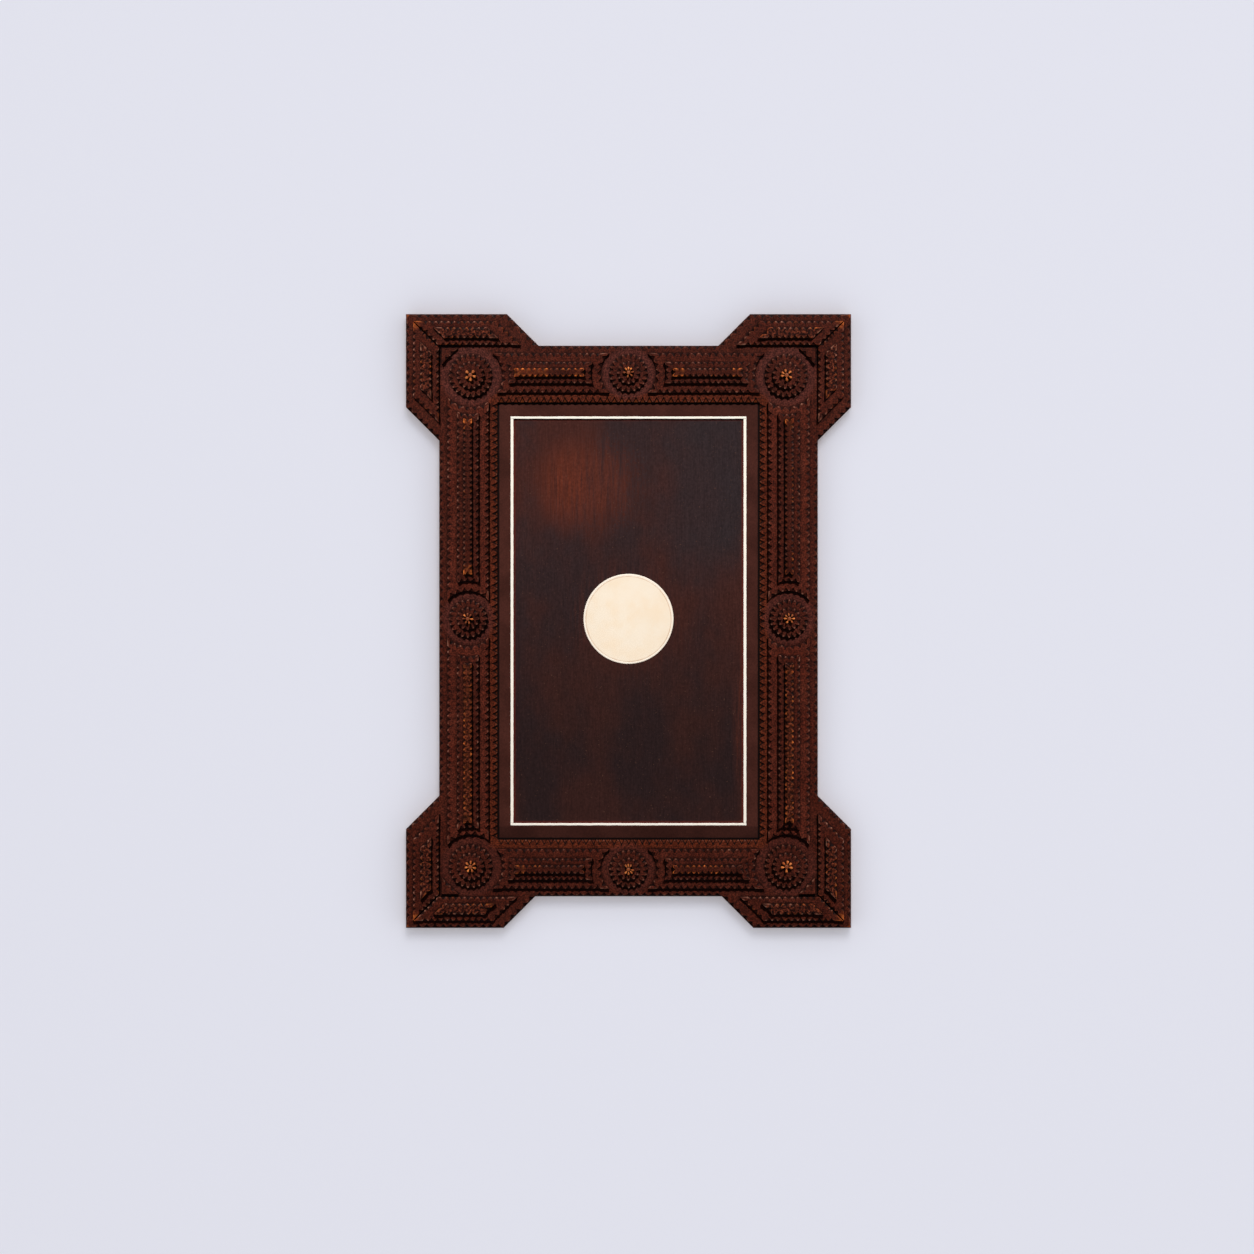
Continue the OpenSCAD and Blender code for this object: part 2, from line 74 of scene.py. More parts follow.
ear_x, ear_z = span("ear_block_top_right", "x")[1], span("ear_block_top_right", "z")[1]
sight_x, body_x = span("cover_right", "x")[0], span("base_stile_right", "x")[1]
sight_z = span("cover_top", "z")[0]
chipped_back = (1.5, 1.3)
edge_x, edge_z = sight_x + chipped_back[0], sight_z + chipped_back[1]
body_z = span("base_stile_right", "z")[1]
ear_out_x, ear_out_z = ear_x - body_x, ear_z - body_z
cover_step = ear_x - span("cover_top", "x")[1]
cover_back, cover_front = span("cover_top", "depth")
slat_t = (span("medallion_top_left", "depth")[1] - cover_front) / 3
glue_t = 0.05
stile_slat = span("stile_slat_top_right", "x")
rail_slat = span("rail_slat_top_right", "z")
stile_line, rail_line = sum(stile_slat) / 2, sum(rail_slat) / 2
second_w = span("stile_crest_top_right", "x")[1] * 2 - 2 * stile_line
third_w = 7.8
side_rise = 2
corner_in = 2.4
corner_at = (stile_line - corner_in, rail_line - corner_in)
corner_ground, mid_ground = 28.4, 24.8
corner_steps, mid_steps = (0, 6.4, 11), (0, 9, 15)
corner_discs, mid_discs = (39.6, 25.2, 11.6), (34.8, 20.8, 10.8)
ear_slat_in = ear_x - span("ear_side_slats_top_right", "x")[1]
ear_slat_end, ear_mitre = 11.2, 0.45
ear_crest_w, ear_crest_end, ear_crest_mitre = 10, 21, 8.6
spandrel_in, spandrel_leg = 2.5, 15
line_x, line_z = span("pale_line", "x")[1], span("pale_line", "z")[1]
line_back, line_front = span("pale_line", "depth")
LINE_W = {"side": 2.7, "end": 2.2}
# How far from a side's end its cuts start, at different kinds of corner
SHARP, BLUNT, TIGHT, EAR_END_MARGIN = 7.5, 2, 0.5, 4.5


def ear_lens(end):
    """Lengths of the level edge and the side edge of the ears at the top or the bottom."""
    inner_x = span(f"ear_block_{end}_right", "x")[0]
    inner_z = min(abs(z) for z in span(f"ear_block_{end}_right", "z"))
    return ear_x - ear_out_z - inner_x, ear_z - ear_out_x - inner_z


# Cuts
class Cut:
    """A run of V cuts: spacing, depth, unevenness, and whether they are chips that stop halfway
    down the layer's edge."""

    def __init__(self, pitch, depth, uneven=0.09, chip=False):
        self.pitch, self.depth, self.uneven, self.chip = pitch, depth, uneven, chip


OUTER = Cut(7.3, 2.9)
SIGHT = Cut(6.4, 5.4, 0.06, chip=True)
FIRST = Cut(6.4, 3.5)
SECOND = {"rail": Cut(5.3, 2.9), "stile": Cut(6.2, 3)}
THIRD = Cut(5.2, 2.7, 0.12)
EAR_FIRST = Cut(5.9, 2.9)
EAR_SECOND = Cut(5.8, 3.1, 0.12)
MITRE = {"first": Cut(4.8, 2.7, 0.3), "second": Cut(4.4, 1.6, 0.2)}
SPANDREL = Cut(8, 2.6)
DISCS = Cut(5.6, 4.3, 0.06), Cut(5.4, 3.6, 0.06)

# A V cut's half from its tip inwards: share of the half width, share of the depth, and how much of
# the tooth's tip it is
V_HALF = ((0.97, 0, 1), (0.8, 0.06, 0.85), (0.6, 0.24, 0.45))
ROOM = 4


class Spot:
    """One point of an outline: its place on the plain edge, the way into the wood, how deep the cut
    is there, how much of a tooth's tip it is, its own luck, and the share of the full rounding that
    there is room for beside a corner. A corner's way is worked out later."""

    def __init__(self, edge, way=None, depth=0, tip=0, luck=0.5, chip=False, room=1):
        self.edge, self.way, self.depth = edge, way, depth
        self.tip, self.luck, self.chip, self.room = tip, luck, chip, room
        self.corner = way is None

    def at(self, share, sunk=0):
        """The place where a share of the cut is left, moved into the wood by sunk."""
        wx, wz = self.way or (0, 0)
        k = share * self.depth + sunk
        return self.edge[0] + k * wx, self.edge[1] + k * wz

    def moved(self, place):
        """The same point after place, which turns an [x, z] of the top right into its own quadrant."""
        edge, way = place(self.edge), None
        if self.way:
            q = place((self.edge[0] + self.way[0], self.edge[1] + self.way[1]))
            way = q[0] - edge[0], q[1] - edge[1]
        return Spot(edge, way, self.depth, self.tip, self.luck, self.chip, self.room)


def cut_run(length, margins, cut, rng):
    """Where the cuts lie along a run: middle, half width to the left and right, depth and luck."""
    run = length - margins[0] - margins[1]
    count = max(1, round(run / cut.pitch))
    step = run / count
    ends = [margins[0] + step * (i + (rng.uniform(-1, 1) * cut.uneven if 0 < i < count else 0))
            for i in range(count + 1)]
    for a, b in zip(ends, ends[1:]):
        middle = (a + b) / 2 + (b - a) * rng.uniform(-0.05, 0.05)
        depth = cut.depth * (1 + rng.uniform(-1.4, 0.8) * cut.uneven)
        yield middle, middle - a, b - middle, depth, rng.random()


def v_cut(place, length, chip, middle, left, right, depth, luck):
    """Seven points of a V cut. place(along, inward) gives their [x, z]."""
    shape = [(-wide * left, inward, tip) for wide, inward, tip in V_HALF] + [(0, 1, 0)]
    shape += [(wide * right, inward, tip) for wide, inward, tip in V_HALF[::-1]]
    for along, inward, tip in shape:
        p, q = place(middle + along, 0), place(middle + along, 1)
        room = min(1, (middle + along) / ROOM, (length - middle - along) / ROOM)
        yield Spot(p, (q[0] - p[0], q[1] - p[1]), inward * depth, tip, luck, chip, room)


def cut_edge(p, q, cut, margins, rng):
    """From p towards q, with the cuts into the side on the left of that way."""
    length = math.dist(p, q)
    ux, uz = (q[0] - p[0]) / length, (q[1] - p[1]) / length

    def place(along, inward):
        return p[0] + ux * along - uz * inward, p[1] + uz * along + ux * inward

    spots = [Spot(p)]
    for notch in cut_run(length, margins, cut, rng):
        spots += v_cut(place, length, cut.chip, *notch)
    return spots


def cut_arc(centre, r, start, end, cut, margin, rng, way=1):
    """Round an arc from one angle to another. way is 1 where the wood is outside it, else -1."""
    turn = 1 if end > start else -1
    length = r * math.radians(abs(end - start))

    def place(along, inward):
        a, d = math.radians(start) + turn * along / r, r + way * inward
        return centre[0] + d * math.cos(a), centre[1] + d * math.sin(a)

    spots = []
    for notch in cut_run(length, (margin, margin), cut, rng):
        spots += v_cut(place, length, cut.chip, *notch)
    return spots


def cut_outline(corners, sides, rng):
    """A closed outline. Each side is (cut, margins), or None for a plain one."""
    spots = []
    for i, side in enumerate(sides):
        p, q = corners[i], corners[(i + 1) % len(corners)]
        spots += cut_edge(p, q, *side, rng) if side else [Spot(p)]
    return spots


def slat_outline(w, start, end, cut, margin, end_margin, rng):
    """A slat along X whose ends curve round the circles start and end, each (x, z, r)."""
    h = w / 2
    low = [math.degrees(math.asin((h + c[1]) / c[2])) for c in (start, end)]
    high = [math.degrees(math.asin((h - c[1]) / c[2])) for c in (start, end)]

    def on(c, angle, z):
        return c[0] + c[2] * math.cos(math.radians(angle)), z

    a, d = on(start, -low[0], -h), on(start, high[0], h)
    b, c = on(end, 180 + low[1], -h), on(end, 180 - high[1], h)
    sides = (margin, margin)
    return (cut_edge(a, b, cut, sides, rng) + [Spot(b)]
            + cut_arc(end[:2], end[2], 180 + low[1], 180 - high[1], cut, end_margin, rng)
            + cut_edge(c, d, cut, sides, rng) + [Spot(d)]
            + cut_arc(start[:2], start[2], high[0], -low[0], cut, end_margin, rng))


def ear_outline(edge_len, near, far, mitre, end, cut, rng):
    """A slat on an ear, as [along, across] from the ear's corner."""
    m, e = mitre * math.sqrt(2), edge_len - end * math.sqrt(2)
    side, blunt = (cut, (SHARP, BLUNT)), (cut, (BLUNT, EAR_END_MARGIN))
    corners = [(near + m, near), (near + e, near), (far + e, far), (far + m, far)]
    at_mitre = MITRE["first" if mitre < 1 else "second"], (BLUNT, SHARP)
    return cut_outline(corners, [side, blunt, side, at_mitre], rng)


# Meshes
class Shape:
    """Gathers vertices, faces and, at each face corner, what the wood's material reads: how much
    painted shade, with some pooled stain, darkens it in a cut, how gilded (above 0) or pale with
    dust and a painted highlight (below 0), and how light its layer is."""

    def __init__(self):
        self.verts, self.faces, self.marks = [], [], []

    def level(self, flat, depths):
        """A ring of vertices, each at its own depth."""
        start = len(self.verts)
        self.verts += [(x * MM, -depth * MM, z * MM) for (x, z), depth in zip(flat, depths)]
        return list(range(start, len(self.verts)))

    def ring(self, flat, depth):
        return self.level(flat, [depth] * len(flat))

    def face(self, corners, marks):
        self.faces.append(corners)
        self.marks += marks

    def band(self, front, back, front_marks, back_marks):
        """Walls between two rings that run anticlockwise as the viewer sees them."""
        for i in range(len(front)):
            j = (i + 1) % len(front)
            self.face((front[i], back[i], back[j], front[j]),
                      (front_marks[i], back_marks[i], back_marks[j], front_marks[j]))

    def solid(self, rings, marks):
        """A front face, the walls between the rings, and a back face."""
        self.face(rings[0], marks[0])
        for k in range(len(rings) - 1):
            self.band(rings[k], rings[k + 1], marks[k], marks[k + 1])
        self.face(rings[-1][::-1], marks[-1][::-1])

    def stack(self, levels, glow=0):
        """A solid through levels, each an outline, its depth and how much painted shade and pooled
        stain it has in a cut.
        """
        self.solid([self.ring(flat, depth) for flat, depth, _ in levels],
                   [[(cut_stain_and_shade, glow, 0)] * len(flat) for flat, _, cut_stain_and_shade in levels])

    def build(self, name, material, slot, *nodes):
        mesh = bpy.data.meshes.new(name)
        mesh.from_pydata(self.verts, [], self.faces)
        marks = mesh.attributes.new("marks", "FLOAT_VECTOR", "CORNER")
        marks.data.foreach_set("vector", [x for m in self.marks for x in m])
        mesh.materials.append(material)
        piece = bpy.data.objects.new(name, mesh)
        bpy.context.scene.collection.objects.link(piece)
        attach(piece, "frame")
        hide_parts(*nodes)
        return piece


def area(flat):
    return sum(a[0] * b[1] - b[0] * a[1] for a, b in zip(flat, flat[1:] + flat[:1])) / 2


def inset(flat, distance):
    """An anticlockwise outline moved inward."""
    moved = []
    for (ax, az), (bx, bz), (cx, cz) in zip(flat[-1:] + flat[:-1], flat, flat[1:] + flat[:1]):
        d1, d2 = math.dist((ax, az), (bx, bz)), math.dist((bx, bz), (cx, cz))
        n1, n2 = ((az - bz) / d1, (bx - ax) / d1), ((bz - cz) / d2, (cx - bx) / d2)
        k = distance / max(0.45, 1 + n1[0] * n2[0] + n1[1] * n2[1])
        moved.append((bx + k * (n1[0] + n2[0]), bz + k * (n1[1] + n2[1])))
    return moved


# The faint gilding on a chip's shelf, which each spot's luck weakens
CHIP_GLOW = 0.08


def slope(s, back, front, floor, ease, chips):
    """A spot's points from the front face to the back, as (share, sunk, depth, cut_stain_and_shade,
    lit). cut_stain_and_shade is the painted shade, with some pooled stain, deep in a cut. Lit is
    how much of the worn tip's gilding, or of its dust and painted highlight, shows there. A chip's
    wall ends with its shelf, and the back face joins it."""
    worn = ease + 0.6 * s.tip * s.room
    deep = 0 if s.corner else 1 - s.tip
    rows = [(1, worn + 0.8 * s.tip * s.room, front, 0, 0), (1, worn, front, 0, 0.8),
            (1, 0.4 * worn, front - 0.2 * worn, 0, 1),
            (1, 0, front - 0.75 * worn, 0.5 * deep, 1)]
    if chips and s.chip:
        shelf = max(0.04, 1 - (1.6 + 3.4 * chips) / max(s.depth, 0.1))
        rows += [(0.97, 0, front - 0.9, 0.95, 0), (shelf, 0, front - 1.1, 1, 0),
                 (shelf, 0, front - 1.15, chips, CHIP_GLOW), (0.04, 0, front - 1.7, chips, CHIP_GLOW)]
    elif chips:
        rows += [(0.9, 0, front - 1.5, 0.9 * deep, 0), (0.85, 0, front - 1.55, 0.9 * deep, 0),
                 (0.1, 0, front - 2.2, 0.3 + 0.55 * deep, 0), (0.3, 0, back, 1, 0)]
    else:
        rows += [(0.85, 0, front - 1.0, 0.93 * deep, 0),
                 (floor, 0, front - 1.4, 0.35 + 0.57 * deep, 0), (floor, 0, back, 0.85, 0)]
    return rows


def tip_glow(s, lit, dust_and_highlight, gold):
    """How gilded (above 0) or pale with dust and a painted highlight (below 0) a spot is where its tip
    is lit so much.
    """
    if lit == CHIP_GLOW:
        return CHIP_GLOW * s.luck
    if not gold:
        return -lit * s.tip ** 3 * (dust_and_highlight(s) if callable(dust_and_highlight) else dust_and_highlight * s.luck ** 2)
    strong = gold(*s.edge)
    if strong > 1:
        tip = 1 if s.corner else s.tip
        kept = 0.3 + 0.7 * s.luck if strong > 1.09 else 0.9 * s.luck ** 2
        return max(lit * tip * kept, (0.2 + 0.8 * tip) * (strong - 1))
    if s.luck > 0.5:
        return lit * s.tip * strong * (s.luck - 0.4) / 0.6
    return -lit * s.tip ** 2 * dust_and_highlight * (1 - 1.2 * s.luck)


def carve(shape, spots, back, front, tone, dust_and_highlight, floor=0.1, ease=0.25, gold=None, chips=0):
    """A layer with cuts, added to shape. The cuts keep the share floor of their depth at the back,
    or are chips that reach in by the share chips. Tone is how light the layer is, and ease how
    rounded its edge. dust_and_highlight is how pale the tips are with dust and a painted
    highlight, as a number or for each spot. gold(x, z) says how bright a gilded layer's tips are
    at a place, and above 1 the gilding covers its front too."""
    if area([s.at(1) for s in spots]) < 0:
        spots = spots[::-1]
    outline = [s.at(1) for s in spots]
    for s, p, q in zip(spots, outline, inset(outline, 1)):
        s.way = s.way or (q[0] - p[0], q[1] - p[1])
    rings, marks = [], []
    for row in zip(*(slope(s, back, front, floor, ease, chips) for s in spots)):
        flat = [s.at(share, sunk) for s, (share, sunk, *_) in zip(spots, row)]
        rings.append(shape.level(flat, [depth for _, _, depth, _, _ in row]))
        marks.append([(cut_stain_and_shade, tip_glow(s, lit, dust_and_highlight, gold), tone)
                      for s, (*_, cut_stain_and_shade, lit) in zip(spots, row)])
    shape.solid(rings, marks)


def carved(shape, node, material):
    """Puts a carved piece in the place of its CAD node."""
    return shape.build(node + "_carved", material, "stained_wood", node)


def layer_depths(tier):
    start = cover_front + tier * slat_t
    return start + glue_t, start + slat_t


# Materials
def rgb(r, g, b):
    return r, g, b, 1.0


# Colours. In a pair the darker one is first, or for cream and metal the cleaner one.
STAIN = rgb(0.068, 0.011, 0.005), rgb(0.098, 0.0172, 0.0087)
STAIN_PATCH, SMUDGE = rgb(0.116, 0.025, 0.0135), rgb(0.03, 0.006, 0.003)
SIGHT_STAIN = rgb(0.115, 0.019, 0.006), rgb(0.175, 0.031, 0.0085)
SMOOTH_STAIN_AND_SHEEN = rgb(0.066, 0.0165, 0.012), rgb(0.086, 0.022, 0.0165)
RUBBED, NICKED = rgb(0.36, 0.08, 0.022), rgb(0.3, 0.066, 0.028)
DUST_AND_HIGHLIGHT = rgb(0.18, 0.058, 0.034), rgb(0.4, 0.175, 0.115)
AMBER = rgb(0.3, 0.046, 0.01), rgb(0.84, 0.205, 0.04)
GOLD_GROUND = rgb(0.1, 0.018, 0.006)
GOLD = rgb(0.34, 0.07, 0.014), rgb(0.8, 0.245, 0.062)
BARE_PINE = rgb(0.2, 0.115, 0.055), rgb(0.33, 0.205, 0.105)
OLD_PINE = rgb(0.165, 0.098, 0.05), rgb(0.3, 0.195, 0.105)
PINE_RING = rgb(0.125, 0.066, 0.03)
PANEL_LOW = rgb(0.0175, 0.0086, 0.0086), rgb(0.03, 0.0104, 0.0084)
PANEL_SHEENED_TOP = rgb(0.0275, 0.014, 0.0142), rgb(0.047, 0.0142, 0.0108)
PANEL_RED, PANEL_CORE = rgb(0.098, 0.0215, 0.0115), rgb(0.12, 0.0235, 0.011)
PANEL_GREY, PANEL_EDGE = rgb(0.0235, 0.016, 0.0175), rgb(0.105, 0.013, 0.008)
PANEL_SPECK = rgb(0.1, 0.045, 0.03)
LINER = rgb(0.04, 0.011, 0.0075), rgb(0.058, 0.0165, 0.0115)
DISC_CREAM = rgb(0.905, 0.775, 0.62), rgb(0.895, 0.715, 0.52)
DISC_RIM, DISC_LINE = rgb(0.95, 0.85, 0.74), rgb(0.55, 0.33, 0.19)
LINE_CREAM = rgb(0.93, 0.87, 0.77), rgb(0.93, 0.83, 0.7)
NAIL_STEEL = rgb(0.3, 0.29, 0.28), rgb(0.12, 0.07, 0.045)
SCREW_STEEL = rgb(0.42, 0.41, 0.4), rgb(0.16, 0.12, 0.09)
BRASS = rgb(0.6, 0.42, 0.18), rgb(0.26, 0.16, 0.07)
WALL, BACKDROP = rgb(0.8, 0.806, 0.895), rgb(0.753, 0.761, 0.838)


class Nodes:
    """The nodes of a material or a world, with short calls that add them."""

    def __init__(self, owner):
        self.owner = owner
        owner.use_nodes = True
        self.tree = owner.node_tree
        self.tree.nodes.clear()

    def add(self, kind, inputs=None, out=0, **settings):
        """Adds a node. Returns the output out, or all of its outputs where out is None."""
        node = self.tree.nodes.new("ShaderNode" + kind)
        for key, value in settings.items():
            setattr(node, key, value)
        for key, value in (inputs or {}).items():
            if isinstance(value, bpy.types.NodeSocket):
                self.tree.links.new(value, node.inputs[key])
            else:
                node.inputs[key].default_value = value
        if out is None:
            return node.outputs
        return node.outputs[out] if node.outputs else None

    def math(self, operation, a, b=0.0, c=0.0):
        return self.add("Math", {0: a, 1: b, 2: c}, operation=operation)

    def length(self, a, b):
        squares = self.math("MULTIPLY", a, a), self.math("MULTIPLY", b, b)
        return self.math("SQRT", self.math("ADD", *squares))

    def fit(self, value, low, high, to_low=0.0, to_high=1.0):
        limits = {"From Min": low, "From Max": high, "To Min": to_low, "To Max": to_high}
        return self.add("MapRange", {"Value": value, **limits}, interpolation_type="SMOOTHSTEP")

    def mix(self, share, a, b):
        """A mix of two colours. The node has them in its inputs 6 and 7 and its output 2."""
        return self.add("Mix", {0: share, 6: a, 7: b}, out=2, data_type="RGBA", clamp_factor=True)

    def lay(self, colour, over, value, *limits):
        """A colour with another laid over it by a value, which fit brings between the limits."""
        return self.mix(self.fit(value, *limits), colour, over)

    def blend(self, pair, value, low, high):
        return self.lay(*pair, value, low, high)

    def scale(self, colour, factor):
        return self.add("VectorMath", {0: colour, "Scale": factor}, operation="SCALE")

    def vary(self, colour, value, *limits):
        """A colour made darker or lighter by a value, which fit brings between the limits."""
        return self.scale(colour, self.fit(value, *limits))

    def noise(self, scale, detail=3.0, rough=0.55, move=(0, 0, 0)):
        """Noise with so many features per metre, or so many along X, Y and Z."""
        if isinstance(scale, int):
            scale = (scale, scale, scale)
        spot = self.add("TexCoord", out="Object")
        place = self.add("Mapping", {"Vector": spot, "Location": move, "Scale": scale})
        return self.add("TexNoise", {"Vector": place, "Scale": 1.0, "Detail": detail,
                                     "Roughness": rough})

    def position(self):
        """X, Y and Z in the frame's metres."""
        return self.add("SeparateXYZ", {0: self.add("TexCoord", out="Object")}, out=None)

    def outside(self, place, x, z):
        """How many metres a place is outside the opening of half width x and half height z, and
        how many at its side alone."""
        beside = self.math("SUBTRACT", self.math("ABSOLUTE", place[0]), x * MM)
        level = self.math("SUBTRACT", self.math("ABSOLUTE", place[2]), z * MM)
        return self.math("MAXIMUM", beside, level), beside

    def marks(self):
        marks = self.add("Attribute", out="Vector", attribute_name="marks")
        return self.add("SeparateXYZ", {0: marks}, out=None)

    def seen(self):
        """1 for rays that show a background: from the camera, a gloss or through glass."""
        path = self.add("LightPath", out=None)
        direct = self.math("MAXIMUM", path["Is Camera Ray"], path["Is Glossy Ray"])
        return self.math("MAXIMUM", direct, path["Is Transmission Ray"])

    def surface(self, colour, roughness, height=None, bump=0.2, distance=0.0003, **fixed):
        inputs = {"Base Color": colour, "Roughness": roughness}
        inputs.update({key.replace("_", " "): value for key, value in fixed.items()})
        if height is not None:
            bumps = {"Height": height, "Strength": bump, "Distance": distance}
            inputs["Normal"] = self.add("Bump", bumps)
        return self.output(self.add("BsdfPrincipled", inputs))

    def output(self, shader):
        self.add("OutputMaterial", {"Surface": shader})
        return self.owner


def new_nodes(name):
    return Nodes(bpy.data.materials.new(name))


def shade_and_dirt_in_corners(m, colour, distance=0.004, darkest=0.1, clean=0.86):
    """Darkens a colour in the corners that the air doesn't reach: painted shade, with the dirt that
    gathers there.
    """
    open_air = m.add("AmbientOcclusion", {"Distance": distance}, out="AO", samples=8)
    return m.vary(colour, open_air, 0.36, clean, darkest, 1)


def medallion_distance(m, place):
    """How far a point is from the middle of the nearest medallion. The smaller ones count as that
    much further off, as their ground is smaller."""
    x, z = m.math("ABSOLUTE", place[0]), m.math("ABSOLUTE", place[2])
    smaller = corner_ground - mid_ground
    nearest = None
    for centre, px, pz, extra in ((corner_at, x, z, 0),
                                  ((stile_line, side_rise), x, place[2], smaller),
                                  ((0, rail_line), place[0], z, smaller)):
        dx, dz = m.math("SUBTRACT", px, centre[0] * MM), m.math("SUBTRACT", pz, centre[1] * MM)
        far = m.math("ADD", m.length(dx, dz), extra * MM)
        nearest = far if nearest is None else m.math("MINIMUM", nearest, far)
    return nearest


def cover_wear(m, colour, grain, place):
    """A cover's stain: amber along the sight edges, smooth round the medallions with a painted sheen
    that grows towards the top, and rubbed at the ears' corners."""
    near, beside = m.outside(place, sight_x + SIGHT_BAND, sight_z + SIGHT_BAND)
    soft = 0.5 * MM
    dimmer = m.fit(beside, soft, -soft, 1, 0.72)
    amber = m.mix(0.5, m.scale(colour, 0.9), m.blend(SIGHT_STAIN, grain, 0.3, 0.7))
    colour = m.mix(m.fit(near, soft, -soft), m.scale(colour, 0.6), m.scale(amber, dimmer))
    ring = m.fit(medallion_distance(m, place), 29.5 * MM, 24.5 * MM)
    # Painted sheen: the smooth ring shows more towards the top
    ring = m.math("MULTIPLY", ring, m.fit(place[2], -0.2, 0.15, 0.3, 0.7))
    colour = m.mix(ring, colour, m.blend(SMOOTH_STAIN_AND_SHEEN, grain, 0.3, 0.7))
    out = m.math("ADD", m.math("ABSOLUTE", place[0]), m.math("ABSOLUTE", place[2]))
    corner = ear_x + ear_z
    return m.lay(colour, RUBBED, out, (corner - 6) * MM, (corner - 2) * MM, 0, 0.8)


def nicked(m, colour, smudges, place, start):
    """Amber nicks and dark gaps on the slats that stand further out than start."""
    nicks = m.noise(460, detail=3, rough=0.6, move=(4, 4, 1))
    top = m.fit(place[1], -start * MM, -(start + 0.4) * MM)
    worn = m.math("MULTIPLY", top, m.fit(smudges, 0.35, 0.6, 0.35, 1))
    bright = m.math("MULTIPLY", worn, m.fit(nicks, 0.515, 0.58, 0, 0.85))
    dark = m.math("MULTIPLY", top, m.fit(nicks, 0.49, 0.42))
    return m.vary(m.mix(bright, colour, NICKED), dark, 0, 1, 1, 0.16)


def stained_wood(name, along, raw_back=False, sight_glow=False, nicked_from=None):
    """Dark varnished softwood with its grain along an axis, pale at its worn tips with dust and a
    painted highlight, or gilded there, and darkened by painted shade in its cuts and corners.
    """
    m = new_nodes(name)
    cut_stain_and_shade, wear_and_highlight, tone = m.marks()
    place = m.position()
    fine, pores = [1300, 1300, 1300], [2600, 2600, 2600]
    fine[along], pores[along] = 40, 260
    grain = m.noise(fine)
    smudges = m.noise(160, detail=3, move=(7, 3, 5))
    pore = m.fit(m.noise(pores, detail=2), 0.6, 0.72)
    colour = m.blend(STAIN, grain, 0.32, 0.68)
    colour = m.lay(colour, STAIN_PATCH, m.noise(38, detail=2), 0.35, 0.68, 0, 0.5)
    colour = m.lay(colour, SMUDGE, smudges, 0.5, 0.75, 0, 0.6)
    colour = m.vary(colour, pore, 0, 1, 1, 0.55)
    if sight_glow:
        colour = cover_wear(m, colour, grain, place)
    if nicked_from:
        colour = nicked(m, colour, smudges, place, nicked_from)
    speckle = m.noise(800, detail=2, rough=0.75, move=(2, 6, 8))
    colour = m.vary(colour, speckle, 0.38, 0.64, 0.38, 1.5)
    colour = m.vary(colour, m.noise(330, detail=1, move=(8, 1, 3)), 0.35, 0.65, 0.78, 1.16)
    colour = m.scale(colour, 0.85 if raw_back else tone)
    # Painted shade deep in the cuts, with some pooled stain, darkens the colour
    colour = m.scale(colour, m.math("MULTIPLY_ADD", cut_stain_and_shade, -0.9, 1.0))
    # Painted highlight, with dust, pales the worn tips where the marks are below 0; gilding shows
    # where they are above 0
    flecks = m.fit(m.noise(420, detail=2, move=(1, 9, 4)), 0.36, 0.6)
    colour = m.mix(m.math("MULTIPLY", wear_and_highlight, -1.0), colour, m.mix(flecks, *DUST_AND_HIGHLIGHT))
    colour = m.mix(wear_and_highlight, colour, m.mix(flecks, *AMBER))
    # Painted shade, with some dirt, in the corners between the layers
    colour = shade_and_dirt_in_corners(m, colour)
    if raw_back:
        uneven = m.fit(m.noise(60, move=(5, 5, 1)), 0.2, 0.8, -0.0009, 0.0009)
        at_back = m.fit(m.math("ADD", place[1], uneven), -0.0072, -0.0055)
        colour = m.mix(at_back, colour, m.blend(BARE_PINE, grain, 0.3, 0.7))
    height = m.math("SUBTRACT", grain, m.math("MULTIPLY", pore, 0.7))
    roughness = m.fit(smudges, 0.3, 0.7, 0.42, 0.62)
    return m.surface(colour, roughness, height, 0.35, 0.00025, Specular_IOR_Level=0.04)


def gilt(name):
    m = new_nodes(name)
    cut_stain_and_shade, wear_and_highlight, _ = m.marks()
    rub = m.fit(m.noise(500, detail=3), 0.35, 0.62)
    colour = m.mix(wear_and_highlight, GOLD_GROUND, m.mix(rub, *GOLD))
    # Painted shade darkens the gilding deep in its cuts and in its corners
    colour = m.scale(colour, m.math("MULTIPLY_ADD", cut_stain_and_shade, -0.92, 1.0))
    colour = shade_and_dirt_in_corners(m, colour, 0.002, 0.25)
    roughness = m.fit(rub, 0, 1, 0.55, 0.38)
    return m.surface(colour, roughness, rub, 0.2, 0.0002, Specular_IOR_Level=0.15)


def spot_mask(m, place, centre, radii, noise, ragged):
    """A soft patch round a place on the panel, [x, z] in millimetres, with a ragged edge."""
    dx, dz = (m.math("DIVIDE", m.math("SUBTRACT", along, middle * MM), r * MM)
              for along, middle, r in zip((place[0], place[2]), centre, radii))
    far = m.math("MULTIPLY_ADD", m.math("SUBTRACT", noise, 0.5), ragged, m.length(dx, dz))
    return m.fit(far, 1.15, 0.35)


